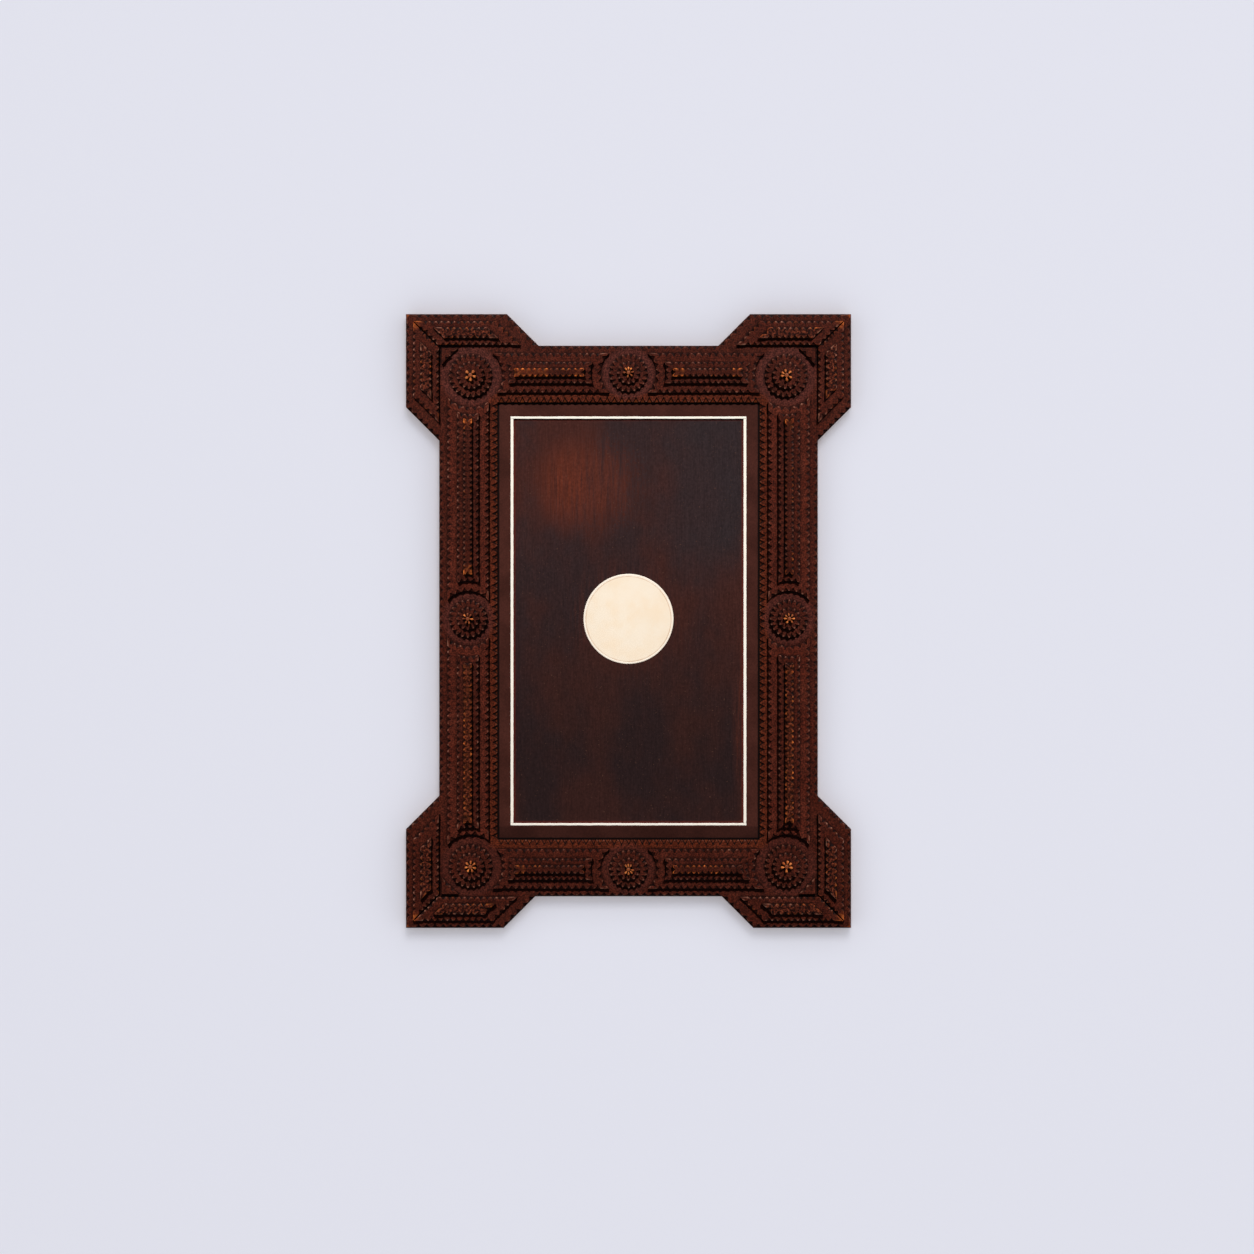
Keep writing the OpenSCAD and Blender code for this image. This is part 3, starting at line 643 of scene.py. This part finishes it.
def painted_panel():
    """Dark brushed paint with a painted sheen that makes it lighter towards the top, rubbed patches
    and a reddish edge.
    """
    m = new_nodes("painted_panel")
    place = m.position()
    cloud = m.noise((14, 14, 9), detail=4)
    streak = m.noise((430, 40, 26), detail=5, rough=0.7)
    brush = m.noise((1300, 300, 75), detail=3, move=(6, 1, 2))
    mottle = m.noise((520, 520, 380), detail=3, rough=0.7, move=(2, 2, 9))
    fine = m.noise((1500, 900, 60), detail=3)
    low, high = m.blend(PANEL_LOW, cloud, 0.38, 0.62), m.blend(PANEL_SHEENED_TOP, cloud, 0.38, 0.62)
    # Painted sheen: the paint is lighter towards the top
    colour = m.lay(low, high, place[2], -0.12, 0.12)
    # Middle, radii, ragged edge, paint, and the limits between which the streaks show it
    for middle, radii, noise, ragged, paint, limits in (
            ((72, 118), (55, 110), cloud, 0.8, PANEL_GREY, None),
            ((-36, 124), (52, 48), mottle, 1.3, PANEL_RED, (0.35, 0.65, 0.15, 0.75)),
            ((-56, 122), (30, 44), streak, 1.5, PANEL_CORE, (0.36, 0.64, 0.2, 0.62)),
            ((4, 0), (60, 60), cloud, 1.4, PANEL_RED, (0.4, 0.7, 0, 0.35)),
            ((102, -90), (10, 90), streak, 1.2, PANEL_RED, (0.4, 0.7, 0.1, 0.6))):
        share = m.fit(streak, *limits) if limits else 0.8
        mask = spot_mask(m, place, middle, radii, noise, ragged)
        colour = m.mix(m.math("MULTIPLY", mask, share), colour, paint)
    edge, _ = m.outside(place, line_x - LINE_W["side"], line_z - LINE_W["end"])
    colour = m.lay(colour, PANEL_EDGE, edge, -0.0024, -0.0008, 0, 0.6)
    colour = m.vary(colour, brush, 0.3, 0.7, 0.87, 1.14)
    colour = m.vary(colour, mottle, 0.3, 0.7, 0.8, 1.18)
    colour = m.lay(colour, PANEL_SPECK, m.noise(700, detail=1, move=(3, 3, 3)), 0.71, 0.78, 0, 0.6)
    bumps = m.math("MULTIPLY_ADD", fine, 0.5, streak)
    roughness = m.fit(cloud, 0.3, 0.7, 0.5, 0.65)
    return m.surface(colour, roughness, bumps, 0.25, 0.0002, Specular_IOR_Level=0.035)


def dark_paint():
    """The liner's paint, with a painted shadow that makes it nearly black beside the covers, and
    painted shade that makes it darker along its bottom strip.
    """
    m = new_nodes("dark_paint")
    place = m.position()
    cloud, fine = m.noise(40, detail=4), m.noise(900, detail=3)
    colour = m.vary(m.blend(LINER, cloud, 0.35, 0.65), fine, 0.3, 0.7, 0.82, 1.15)
    # Painted shade: the bottom strip is darker
    colour = m.vary(colour, place[2], -0.1865, -0.1835, 0.62, 1)
    # Painted shadow: the paint turns nearly black in a wavering band beside the covers' edges
    outside, _ = m.outside(place, edge_x, edge_z)
    shadow_band = m.math("MULTIPLY_ADD", m.noise(160, detail=2), 0.0008, outside)
    colour = m.vary(colour, shadow_band, -0.0016, -0.0008, 1, 0.08)
    # Painted shade, with some dirt, in the liner's corners beside the covers
    colour = shade_and_dirt_in_corners(m, colour, 0.004, 0.05, 0.97)
    roughness = m.fit(cloud, 0.3, 0.7, 0.5, 0.65)
    return m.surface(colour, roughness, fine, 0.15, 0.0002, Specular_IOR_Level=0.035)


def cream_paint(name, pair, rim=0):
    """Cream paint, with a tan line and a whiter edge at a radius if it is on the disc."""
    m = new_nodes(name)
    cloud = m.noise(55, detail=5, rough=0.6)
    soft = m.noise(22, detail=2, move=(4, 2, 7))
    colour = m.lay(*pair, cloud, 0.35, 0.7, 0, 0.8)
    colour = m.vary(colour, soft, 0.3, 0.7, 0.975, 1.0)
    if rim:
        place = m.position()
        rise = m.math("SUBTRACT", place[2], sum(disc_z) / 2 * MM)
        past = m.math("SUBTRACT", m.length(place[0], rise), rim * MM)
        past = m.math("MULTIPLY_ADD", soft, 0.0008, past)
        colour = m.lay(colour, DISC_RIM, past, 0, 0.0008, 0, 0.6)
        line = m.math("MULTIPLY", m.fit(past, -0.0006, 0.0001), m.fit(past, 0.0008, 0.0002))
        faint = m.fit(cloud, 0.35, 0.6, 0.25, 0.7)
        colour = m.mix(m.math("MULTIPLY", line, faint), colour, DISC_LINE)
    return m.surface(colour, 0.5, cloud, 0.08, 0.0003, Specular_IOR_Level=0.3)


def old_pine():
    m = new_nodes("old_pine")
    grain = m.noise((900, 900, 18), detail=4, rough=0.6)
    colour = m.blend(OLD_PINE, grain, 0.3, 0.7)
    colour = m.lay(colour, PINE_RING, m.noise((120, 120, 3), detail=2), 0.42, 0.6, 0, 0.6)
    colour = m.vary(colour, m.noise(14, detail=4), 0.45, 0.7, 1, 0.6)
    return m.surface(colour, 0.78, grain, 0.4, 0.0004, Specular_IOR_Level=0.25)


def metal(name, pair, roughness):
    m = new_nodes(name)
    tarnish = m.noise(260, detail=5, rough=0.6)
    scratch = m.noise((2500, 300, 2500), detail=2)
    colour = m.blend(pair, tarnish, 0.38, 0.62)
    rough = m.fit(tarnish, 0.35, 0.65, roughness, roughness + 0.28)
    return m.surface(colour, rough, scratch, 0.12, 0.0001, Metallic=1.0)


# Millimetres: the amber band along the sight edges, and the depths outside which the second slats
# on the ears and the third ones on the lower stiles are nicked
SIGHT_BAND, NICKED_EAR, NICKED_STILE = 9, 29, 33.5


def both_ways(name, **settings):
    """A wood whose grain runs along X and one whose grain runs along Z, by axis number."""
    return {0: stained_wood(name + "_x", 0, **settings), 2: stained_wood(name + "_z", 2, **settings)}


wood = both_ways("stained_wood")
cover_wood = both_ways("cover_wood", sight_glow=True)
ear_wood = both_ways("ear_wood", nicked_from=NICKED_EAR)
base_wood = both_ways("base_wood", raw_back=True)
crest_wood = stained_wood("crest_wood_z", 2, nicked_from=NICKED_STILE)
gold_leaf = gilt("gilt")
disc_x, disc_z = span("pale_disc", "x"), span("pale_disc", "z")
disc_r = (disc_x[1] - disc_x[0]) / 2
cream = cream_paint("cream_disc", DISC_CREAM, disc_r - 2)
white = cream_paint("cream_line", LINE_CREAM)
brass = metal("hanger_brass", BRASS, 0.3)
LOOKS = {
    "panel": painted_panel(),
    "liner": dark_paint(),
    "backboard": old_pine(),
    "backboard_nails": metal("nail_steel", NAIL_STEEL, 0.4),
    "hanger_screws": metal("screw_steel", SCREW_STEEL, 0.35),
    "base_rail_top": base_wood[0],
    "base_rail_bottom": base_wood[0],
}
for corner in CORNERS:
    LOOKS["ear_block_" + corner] = base_wood[0]
for side in ("left", "right"):
    LOOKS["base_stile_" + side] = base_wood[2]
    LOOKS["hanger_strap_" + side] = LOOKS["hanger_ring_" + side] = brass
for node, look in LOOKS.items():
    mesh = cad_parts[node].data
    mesh.materials.clear()
    mesh.materials.append(look)


# Carved pieces
# What carve takes for each layer. The slats' and the ears' tables go from the first tier up.
COVER = {"tone": 1, "dust_and_highlight": 0.4, "ease": 0.2}
NARROW = {"tone": 0.5, "dust_and_highlight": 0.4, "floor": 0.15, "ease": 0.35}
SLATS = {"rail": ({"tone": 0.66, "dust_and_highlight": 0.6}, {"tone": 0.57, "dust_and_highlight": 0.6}, NARROW),
         "stile": ({"tone": 0.8, "dust_and_highlight": 0.75}, {"tone": 0.57, "dust_and_highlight": 0.75}, NARROW)}
EARS = ({"tone": 0.62, "dust_and_highlight": 0.75, "ease": 0.35},
        {"tone": 0.52, "dust_and_highlight": 0.7, "floor": 0.15, "ease": 0.4})
CORNER_PIECE = {"tone": 0.58, "dust_and_highlight": 0.8}
DISC = {"tone": 0.62, "floor": 0.3, "ease": 0.4}
# Where a slat's cuts start along its sides and round its ends, for each tier
MARGINS = (SHARP, (SHARP + BLUNT) / 2, 3.2)
END_MARGINS = (1.5 * BLUNT, BLUNT, 0.6 * BLUNT)


def ear_side_half(end):
    """Half of the right cover's outline, from its long edge round the ear to the sight opening."""
    x, z = ear_x - cover_step, ear_z - cover_step
    ear = ear_lens(end)[1] - math.sqrt(2) * cover_step
    return [(x - ear_out_x, z - ear - ear_out_x), (x, z - ear), (x, z), (edge_x, edge_z)]


def cover_outline(name, rng):
    """A cover board with its ears. The top and the right one are drawn, and the others flipped."""
    x, z = ear_x - cover_step, ear_z - cover_step
    if name in ("top", "bottom"):
        ear = ear_lens(name)[0] - math.sqrt(2) * cover_step
        half = [(edge_x, edge_z), (x, z), (x - ear, z), (x - ear - ear_out_z, z - ear_out_z)]
        corners = half + [(-px, pz) for px, pz in half[::-1]]
        flip = (1, -1 if name == "bottom" else 1)
    else:
        corners = [(px, -pz) for px, pz in ear_side_half("bottom")[::-1]] + ear_side_half("top")
        flip = (-1 if name == "left" else 1, 1)
    outer, sight = (OUTER, (TIGHT, TIGHT)), (SIGHT, (TIGHT, TIGHT))
    sharp_first, sharp_last = (OUTER, (SHARP, TIGHT)), (OUTER, (TIGHT, SHARP))
    sides = [None, sharp_first, outer, outer, outer, sharp_last, None, sight]
    spots = cut_outline(corners, sides, rng)
    return [s.moved(lambda p: (flip[0] * p[0], flip[1] * p[1])) for s in spots]


for name, along, chips in (("top", 0, 0.15), ("bottom", 0, 0.15),
                           ("right", 2, 0.55), ("left", 2, 0.55)):
    shape = Shape()
    spots = cover_outline(name, random.Random("cover " + name))
    carve(shape, spots, cover_back, cover_front, chips=chips, **COVER)
    carved(shape, "cover_" + name, cover_wood[along])


def slat(tier, kind, middle, far, place, rng):
    """One tier of a slat from the middle medallion's circle to the corner medallion's, and how
    far along it starts and ends."""
    first_w = rail_slat[1] - rail_slat[0] if kind == "rail" else stile_slat[1] - stile_slat[0]
    w = (first_w, second_w, third_w)[tier]
    start = (middle, 0, mid_ground + mid_steps[tier])
    end = (far, -corner_in, corner_ground + corner_steps[tier])
    cut = (FIRST, SECOND[kind], THIRD)[tier]
    spots = slat_outline(w, start, end, cut, MARGINS[tier], END_MARGINS[tier], rng)
    return [s.moved(place) for s in spots], (start[0] + start[2], end[0] - end[2])


# Stretches of a narrow slat whose front is gilded too: from, to and strength, from its middle
GILDED = {"rail top_left": ((72, 103, 0.2), (42, 48, 0.1)),
          "rail top_right": ((40, 50, 0.15), (94, 100, 0.1)),
          "stile top_left": ((174, 184, 0.18), (40, 50, 0.15)),
          "stile top_right": ((174, 184, 0.1),),
          "stile bottom_left": ((40, 186, 0.06),),
          "stile bottom_right": ((42, 48, 0.1), (80, 186, 0.04)),
          "rail bottom_left": ((94, 100, 0.1),),
          "rail bottom_right": ((38, 84, 0.02),)}


def gold_ends(kind, ends, rng, whole):
    """Gilding that is strong at the ends of a narrow slat and comes and goes between them."""
    low, high = sorted(ends)
    phase = [rng.uniform(0, 6.28) for _ in range(3)]

    def gold(x, z):
        along = abs(x if kind == "rail" else z)
        near = min(abs(along - low), abs(high - along))
        drift = sum(math.sin(along / d + p) for d, p in zip((3.1, 7.7, 17), phase)) / 3
        at_end = math.exp(-(near / 5) ** 2)
        strength = min(1, max(0.1, 0.25 + 0.5 * drift + 0.75 * at_end))
        for start, end, more in whole:
            if start < along < end:
                strength = 1 + more
        return strength

    return gold


def gold_tip(reach, bright, faint):
    """Gilding that is bright within reach of an ear's corner and faint beyond."""
    return lambda x, z: bright if math.dist((abs(x), abs(z)), (ear_x, ear_z)) < reach else faint


for corner, (sx, sz) in CORNERS.items():
    for kind, along in (("rail", 0), ("stile", 2)):
        rng = random.Random(f"{kind} {corner}")
        if kind == "rail":
            middle, far = 0, corner_at[0]
            place = lambda p: (sx * p[0], sz * (rail_line + p[1]))
        else:
            middle, far = sz * side_rise, corner_at[1]
            place = lambda p: (sx * (stile_line + p[1]), sz * p[0])
        first, crest = Shape(), Shape()
        for tier, shape in enumerate((first, crest, crest)):
            spots, ends = slat(tier, kind, middle, far, place, rng)
            gold = gold_ends(kind, ends, rng, GILDED[f"{kind} {corner}"]) if tier == 2 else None
            carve(shape, spots, *layer_depths(tier), gold=gold, **SLATS[kind][tier])
        carved(first, f"{kind}_slat_{corner}", wood[along])
        look = crest_wood if kind == "stile" and "bottom" in corner else wood[along]
        carved(crest, f"{kind}_crest_{corner}", look)
    lens = ear_lens("top" if sz > 0 else "bottom")
    for kind, along, length, out, tip in (("top", 0, lens[0], ear_out_z, 1.15),
                                          ("side", 2, lens[1], ear_out_x, 1.5)):
        rng = random.Random(f"ear {kind} {corner}")
        if kind == "top":
            place = lambda p: (sx * (ear_x - p[0]), sz * (ear_z - p[1]))
        else:
            place = lambda p: (sx * (ear_x - p[1]), sz * (ear_z - p[0]))
        middle = (ear_slat_in + out) / 2
        near, far = middle - ear_crest_w / 2, middle + ear_crest_w / 2
        tiers = ((ear_slat_in, out, ear_mitre, ear_slat_end, EAR_FIRST, gold_tip(11, tip, 0.14)),
                 (near, far, ear_crest_mitre, ear_crest_end, EAR_SECOND, gold_tip(25, 1.5, 0.4)))
        shape = Shape()
        for tier, (*outline, gold) in enumerate(tiers):
            spots = [s.moved(place) for s in ear_outline(length, *outline, rng)]
            carve(shape, spots, *layer_depths(tier), gold=gold, **EARS[tier])
        carved(shape, f"ear_{kind}_slats_{corner}", ear_wood[along])

shape = Shape()
for corner, (sx, sz) in CORNERS.items():
    rng = random.Random("spandrel " + corner)
    x, z = body_x - spandrel_in, body_z - spandrel_in
    side = (SPANDREL, (SHARP / 2, SHARP / 2))
    corners = [(x, z), (x - spandrel_leg, z), (x, z - spandrel_leg)]
    spots = [s.moved(lambda p: (sx * p[0], sz * p[1]))
             for s in cut_outline(corners, [None, side, None], rng)]
    carve(shape, spots, *layer_depths(0), **CORNER_PIECE)
carved(shape, "corner_spandrels", wood[0])


# Medallions
# The petals of each star: their angle in degrees and how bright their gilding still is
STARS = {
    "top_left": {138: 0.5, 49: 0.46, -20: 0.52, -85: 0.58, 216: 0.5},
    "top_right": {150: 0.6, 105: 0.44, 42: 0.66, -30: 0.66, -90: 0.7, -170: 0.8},
    "bottom_left": {85: 0.8, 35: 0.7, -18: 0.8, -66: 0.8, -118: 0.9, 190: 0.85, 138: 0.75},
    "bottom_right": {133: 0.9, 78: 0.9, 35: 0.7, -14: 0.95, -94: 0.8, 191: 0.9},
    "mid_left": {133: 1, 90: 0.08, 52: 0.16, -8: 1, -70: 0.35, -115: 0.14, 180: 0.08},
    "mid_right": {2: 1, 48: 0.25, 98: 0.3, 140: 0.35, 180: 0.9, 238: 0.85, -50: 0.5},
    "mid_top": {126: 0.78, 91: 0.88, 55: 0.8, 5: 0.22, -45: 0.2, -100: 0.25, 180: 0.2},
    "mid_bottom": {125: 0.45, 92: 0.55, 60: 0.3, -10: 0.35, -45: 0.7, -90: 0.6, -130: 0.6},
}
PETAL_STEPS, BOSS_STEPS, BOSS_R, BOSS_GLOW = 14, 12, 0.36, 0.2
# Share of a petal's outline, millimetres behind its front, and the painted shade in the cut there
PETAL = ((0.4, 0, 0), (0.7, 0.25, 0), (0.9, 0.9, 0.05), (1, 1.8, 0.35))
# How far a boss is drawn in, how far behind the petals' front, and the painted shade in the cut there
BOSS = ((0.9, 0.7, 0), (0.3, 0.9, 0.1), (0, 1.5, 0.5))


def circle(centre, r, steps):
    return [(centre[0] + r * math.cos(2 * math.pi * i / steps),
             centre[1] + r * math.sin(2 * math.pi * i / steps)) for i in range(steps)]


def petal_outline(at, angle, petals, r):
    """A teardrop from near the middle of a button out to its rim."""
    near, far = 0.3 * r, r
    half = 0.8 * math.pi * 0.72 * r / petals
    flat = []
    for i in range(PETAL_STEPS):
        t = 2 * math.pi * i / PETAL_STEPS
        out = (near + far) / 2 - (far - near) / 2 * math.cos(t)
        wide = half * math.sin(t) * (0.35 + 0.65 * (out - near) / (far - near))
        flat.append((at[0] + out * math.cos(angle) - wide * math.sin(angle),
                     at[1] + out * math.sin(angle) + wide * math.cos(angle)))
    return flat if area(flat) > 0 else flat[::-1]


def button(shape, at, d, star, rng):
    """A star button of rounded petals round a low boss."""
    back, front = layer_depths(2)
    r = d / 2
    for angle, glow in star.items():
        flat = petal_outline(at, math.radians(angle), len(star), r * rng.uniform(0.94, 1))
        middle = sum(p[0] for p in flat) / len(flat), sum(p[1] for p in flat) / len(flat)
        levels = []
        for k, sunk, cut_stain_and_shade in (*PETAL, (1, front - back, 1)):
            smaller = [tuple(c + k * (v - c) for c, v in zip(middle, p)) for p in flat]
            levels.append((smaller, front - sunk, cut_stain_and_shade))
        shape.stack(levels, glow)
    flat = circle(at, BOSS_R * r, BOSS_STEPS)
    levels = [(inset(flat, k), front - sunk, cut_stain_and_shade) for k, sunk, cut_stain_and_shade in BOSS]
    shape.stack([*levels, (flat, back, 1)], BOSS_GLOW)


def disc_dust_and_highlight(s):
    """Dust and a painted highlight on a disc's tips, which show most round its lower half."""
    return (0.4 + 0.5 * max(0, s.way[1])) * (0.4 + 0.6 * s.luck)


def medallion(place, at, sizes):
    name = "medallion_" + place
    rng = random.Random(name)
    shape = Shape()
    for tier, cut in enumerate(DISCS):
        spots = cut_arc(at, sizes[tier] / 2, 0, 360, cut, 0, rng, way=-1)
        carve(shape, spots, *layer_depths(tier), dust_and_highlight=disc_dust_and_highlight, **DISC)
    faces = len(shape.faces)
    button(shape, at, sizes[2], STARS[place], rng)
    piece = carved(shape, name, wood[0])
    piece.data.materials.append(gold_leaf)
    for polygon in list(piece.data.polygons)[faces:]:
        polygon.material_index = 1


for corner, (sx, sz) in CORNERS.items():
    medallion(corner, (sx * corner_at[0], sz * corner_at[1]), corner_discs)
for name, at in (("left", (-stile_line, side_rise)), ("right", (stile_line, side_rise)),
                 ("top", (0, rail_line)), ("bottom", (0, -rail_line))):
    medallion("mid_" + name, at, mid_discs)


# Disc and line
DISC_STEPS = 128
# The disc's groove and rounded edge: how far in from its rim, and how far behind its front
DISC_EDGE = ((2.2, 0), (1.75, 0.03), (1.6, 0.14), (1.45, 0.03), (1, 0), (0.45, 0.04),
             (0.12, 0.18), (0, 0.45))
# The line's rounded edge: how far it is drawn in, and how far behind its front
LINE_EDGE = ((0.35, 0), (0.1, 0.1), (0, 0.25))
LINE_WAVER, LINE_STEP, BUTT_GAP = 0.16, 4, 0.1

disc_back, disc_front = span("pale_disc", "depth")
profile = [(disc_r - inward, disc_front - sunk) for inward, sunk in DISC_EDGE]
shape = Shape()
shape.stack([(circle((sum(disc_x) / 2, sum(disc_z) / 2), r, DISC_STEPS), depth, 0)
             for r, depth in (*profile, (disc_r, disc_back))])
shape.build("pale_disc_painted", cream, "cream_paint", "pale_disc")


def strip(shape, start, end, w, rng):
    """A thin painted strip between two places, whose edges waver a little."""
    length = math.dist(start, end)
    steps = max(2, round(length / LINE_STEP))
    ux, uz = (end[0] - start[0]) / length, (end[1] - start[1]) / length
    left, right = [], []
    for i in range(steps + 1):
        t = i / steps
        cx, cz = start[0] + t * (end[0] - start[0]), start[1] + t * (end[1] - start[1])
        a, b = (w / 2 - rng.uniform(0, LINE_WAVER) for _ in range(2))
        left.append((cx - uz * a, cz + ux * a))
        right.append((cx + uz * b, cz - ux * b))
    flat = right + left[::-1]
    levels = [(inset(flat, k), line_front - sunk, 0) for k, sunk in LINE_EDGE]
    shape.stack([*levels, (flat, line_back, 0)])


rng = random.Random("line")
shape = Shape()
for s in (-1, 1):
    x, z = s * (line_x - LINE_W["side"] / 2), line_z - LINE_W["end"] - BUTT_GAP
    strip(shape, (x, -z), (x, z), LINE_W["side"], rng)
    z = s * (line_z - LINE_W["end"] / 2)
    strip(shape, (-line_x, z), (line_x, z), LINE_W["end"], rng)
shape.build("pale_line_painted", white, "cream_paint", "pale_line")


# Stage
# Metres: half the stage's width, its wall, the wall's top, its floor and the floor's front
STAGE_X, WALL_Y, WALL_TOP, FLOOR_Z, FLOOR_FRONT = 6, 0.001, 5, -1.3, -8
# How far light that leaves the object's back goes through the wall, in metres
CLEAR_NEAR = 0.012


def plane(name, corners, material):
    mesh = bpy.data.meshes.new(name)
    mesh.from_pydata(corners, [], [(0, 1, 2, 3)])
    mesh.materials.append(material)
    made = bpy.data.objects.new(name, mesh)
    bpy.context.scene.collection.objects.link(made)
    made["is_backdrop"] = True
    return made


def wall_material():
    """A matt wall that hides nothing from behind: it is clear from its back, and to light that
    leaves the object's back."""
    m = new_nodes("wall")
    path = m.add("LightPath", out=None)
    close = m.math("LESS_THAN", path["Ray Length"], CLEAR_NEAR)
    unseen = m.math("SUBTRACT", 1.0, path["Is Camera Ray"])
    back = m.add("NewGeometry", out="Backfacing")
    clear = m.math("MAXIMUM", back, m.math("MULTIPLY", close, unseen))
    paint, glass = m.add("BsdfDiffuse", {"Color": WALL}), m.add("BsdfTransparent")
    return m.output(m.add("MixShader", {0: clear, 1: paint, 2: glass}))


def floor_material():
    """A floor that is pale to the eye, and that light passes through."""
    m = new_nodes("floor")
    pale, clear = m.add("Emission", {"Color": BACKDROP}), m.add("BsdfTransparent")
    return m.output(m.add("MixShader", {0: m.seen(), 1: clear, 2: pale}))


wall = plane("wall", [(-STAGE_X, WALL_Y, FLOOR_Z), (STAGE_X, WALL_Y, FLOOR_Z),
                      (STAGE_X, WALL_Y, WALL_TOP), (-STAGE_X, WALL_Y, WALL_TOP)], wall_material())
plane("floor", [(-STAGE_X, FLOOR_FRONT, FLOOR_Z), (STAGE_X, FLOOR_FRONT, FLOOR_Z),
                (STAGE_X, WALL_Y, FLOOR_Z), (-STAGE_X, WALL_Y, FLOOR_Z)], floor_material())

world = bpy.data.worlds.new("world")
bpy.context.scene.world = world
m = Nodes(world)
ambient = m.add("Background", {"Color": rgb(1, 1, 1), "Strength": 0.07})
backdrop = m.add("Background", {"Color": BACKDROP})
m.add("OutputWorld", {"Surface": m.add("MixShader", {0: m.seen(), 1: ambient, 2: backdrop})})


# Lights
def group(name, members):
    made = bpy.data.collections.new(name)
    for member in members:
        made.objects.link(member)
    return made


def lamp(name, aim, distance, size, watts, lights=None, across=0):
    """A soft rectangular lamp, aimed at a place on the wall so many metres across from the middle.
    Its aim is its side and its height as seen from there, in degrees."""
    side, height = (math.radians(a) for a in aim)
    way = Vector((math.sin(side) * math.cos(height), -math.cos(side) * math.cos(height),
                  math.sin(height)))
    light = bpy.data.lights.new(name, "AREA")
    light.shape = "RECTANGLE"
    light.size, light.size_y = size
    light.energy = watts
    made = bpy.data.objects.new(name, light)
    bpy.context.scene.collection.objects.link(made)
    made.location = Vector((across, 0, 0)) + way * distance
    made.rotation_euler = (-way).to_track_quat("-Z", "Y").to_euler()
    made.visible_camera = False
    if lights:
        made.light_linking.receiver_collection = lights


# Each half of the frame has a key lamp from its own side and from above, and the pieces that span
# both have one from the middle. The wall has its own lamps, and one more lamp is behind.
halves = {"left": [], "right": [], "whole": []}
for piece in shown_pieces():
    sides = [side for side in ("left", "right") if side in piece.name]
    halves[sides[0] if sides else "whole"].append(piece)
on_half = {half: group("on_" + half, members) for half, members in halves.items()}
on_wall = group("on_wall", [wall])
for half, sign, watts in (("left", -1, 205), ("right", 1, 205), ("whole", 0, 192)):
    lamp("key_" + half, (sign * 20, 36), 4, (0.12, 0.25), watts, on_half[half], sign * 0.1)
lamp("wall_key", (4, 25), 8, (2.6, 2.6), 145, on_wall)
lamp("wall_dome", (5, -5), 3.2, (14, 14), 392, on_wall)
lamp("wall_front", (0, 2), 6, (1.5, 1.5), 50, on_wall)
lamp("back", (200, 25), 3.5, (2, 2), 100)

# Camera
# Metres: the width of the view at the cover boards' front, VIEW_Y
VIEW_W, VIEW_Y, CAMERA_Y, SENSOR = 1.1286, -0.0215, -4.0, 36
camera = bpy.data.objects.new("camera", bpy.data.cameras.new("camera"))
bpy.context.scene.collection.objects.link(camera)
camera.location = (-0.00135, CAMERA_Y, -0.0054)
camera.rotation_euler = (math.pi / 2, 0, 0)
camera.data.sensor_width = SENSOR
camera.data.lens = SENSOR * (VIEW_Y - CAMERA_Y) / VIEW_W
camera.data.clip_start, camera.data.clip_end = 0.1, 50
bpy.context.scene.camera = camera
bpy.context.scene.view_settings.view_transform = "Standard"
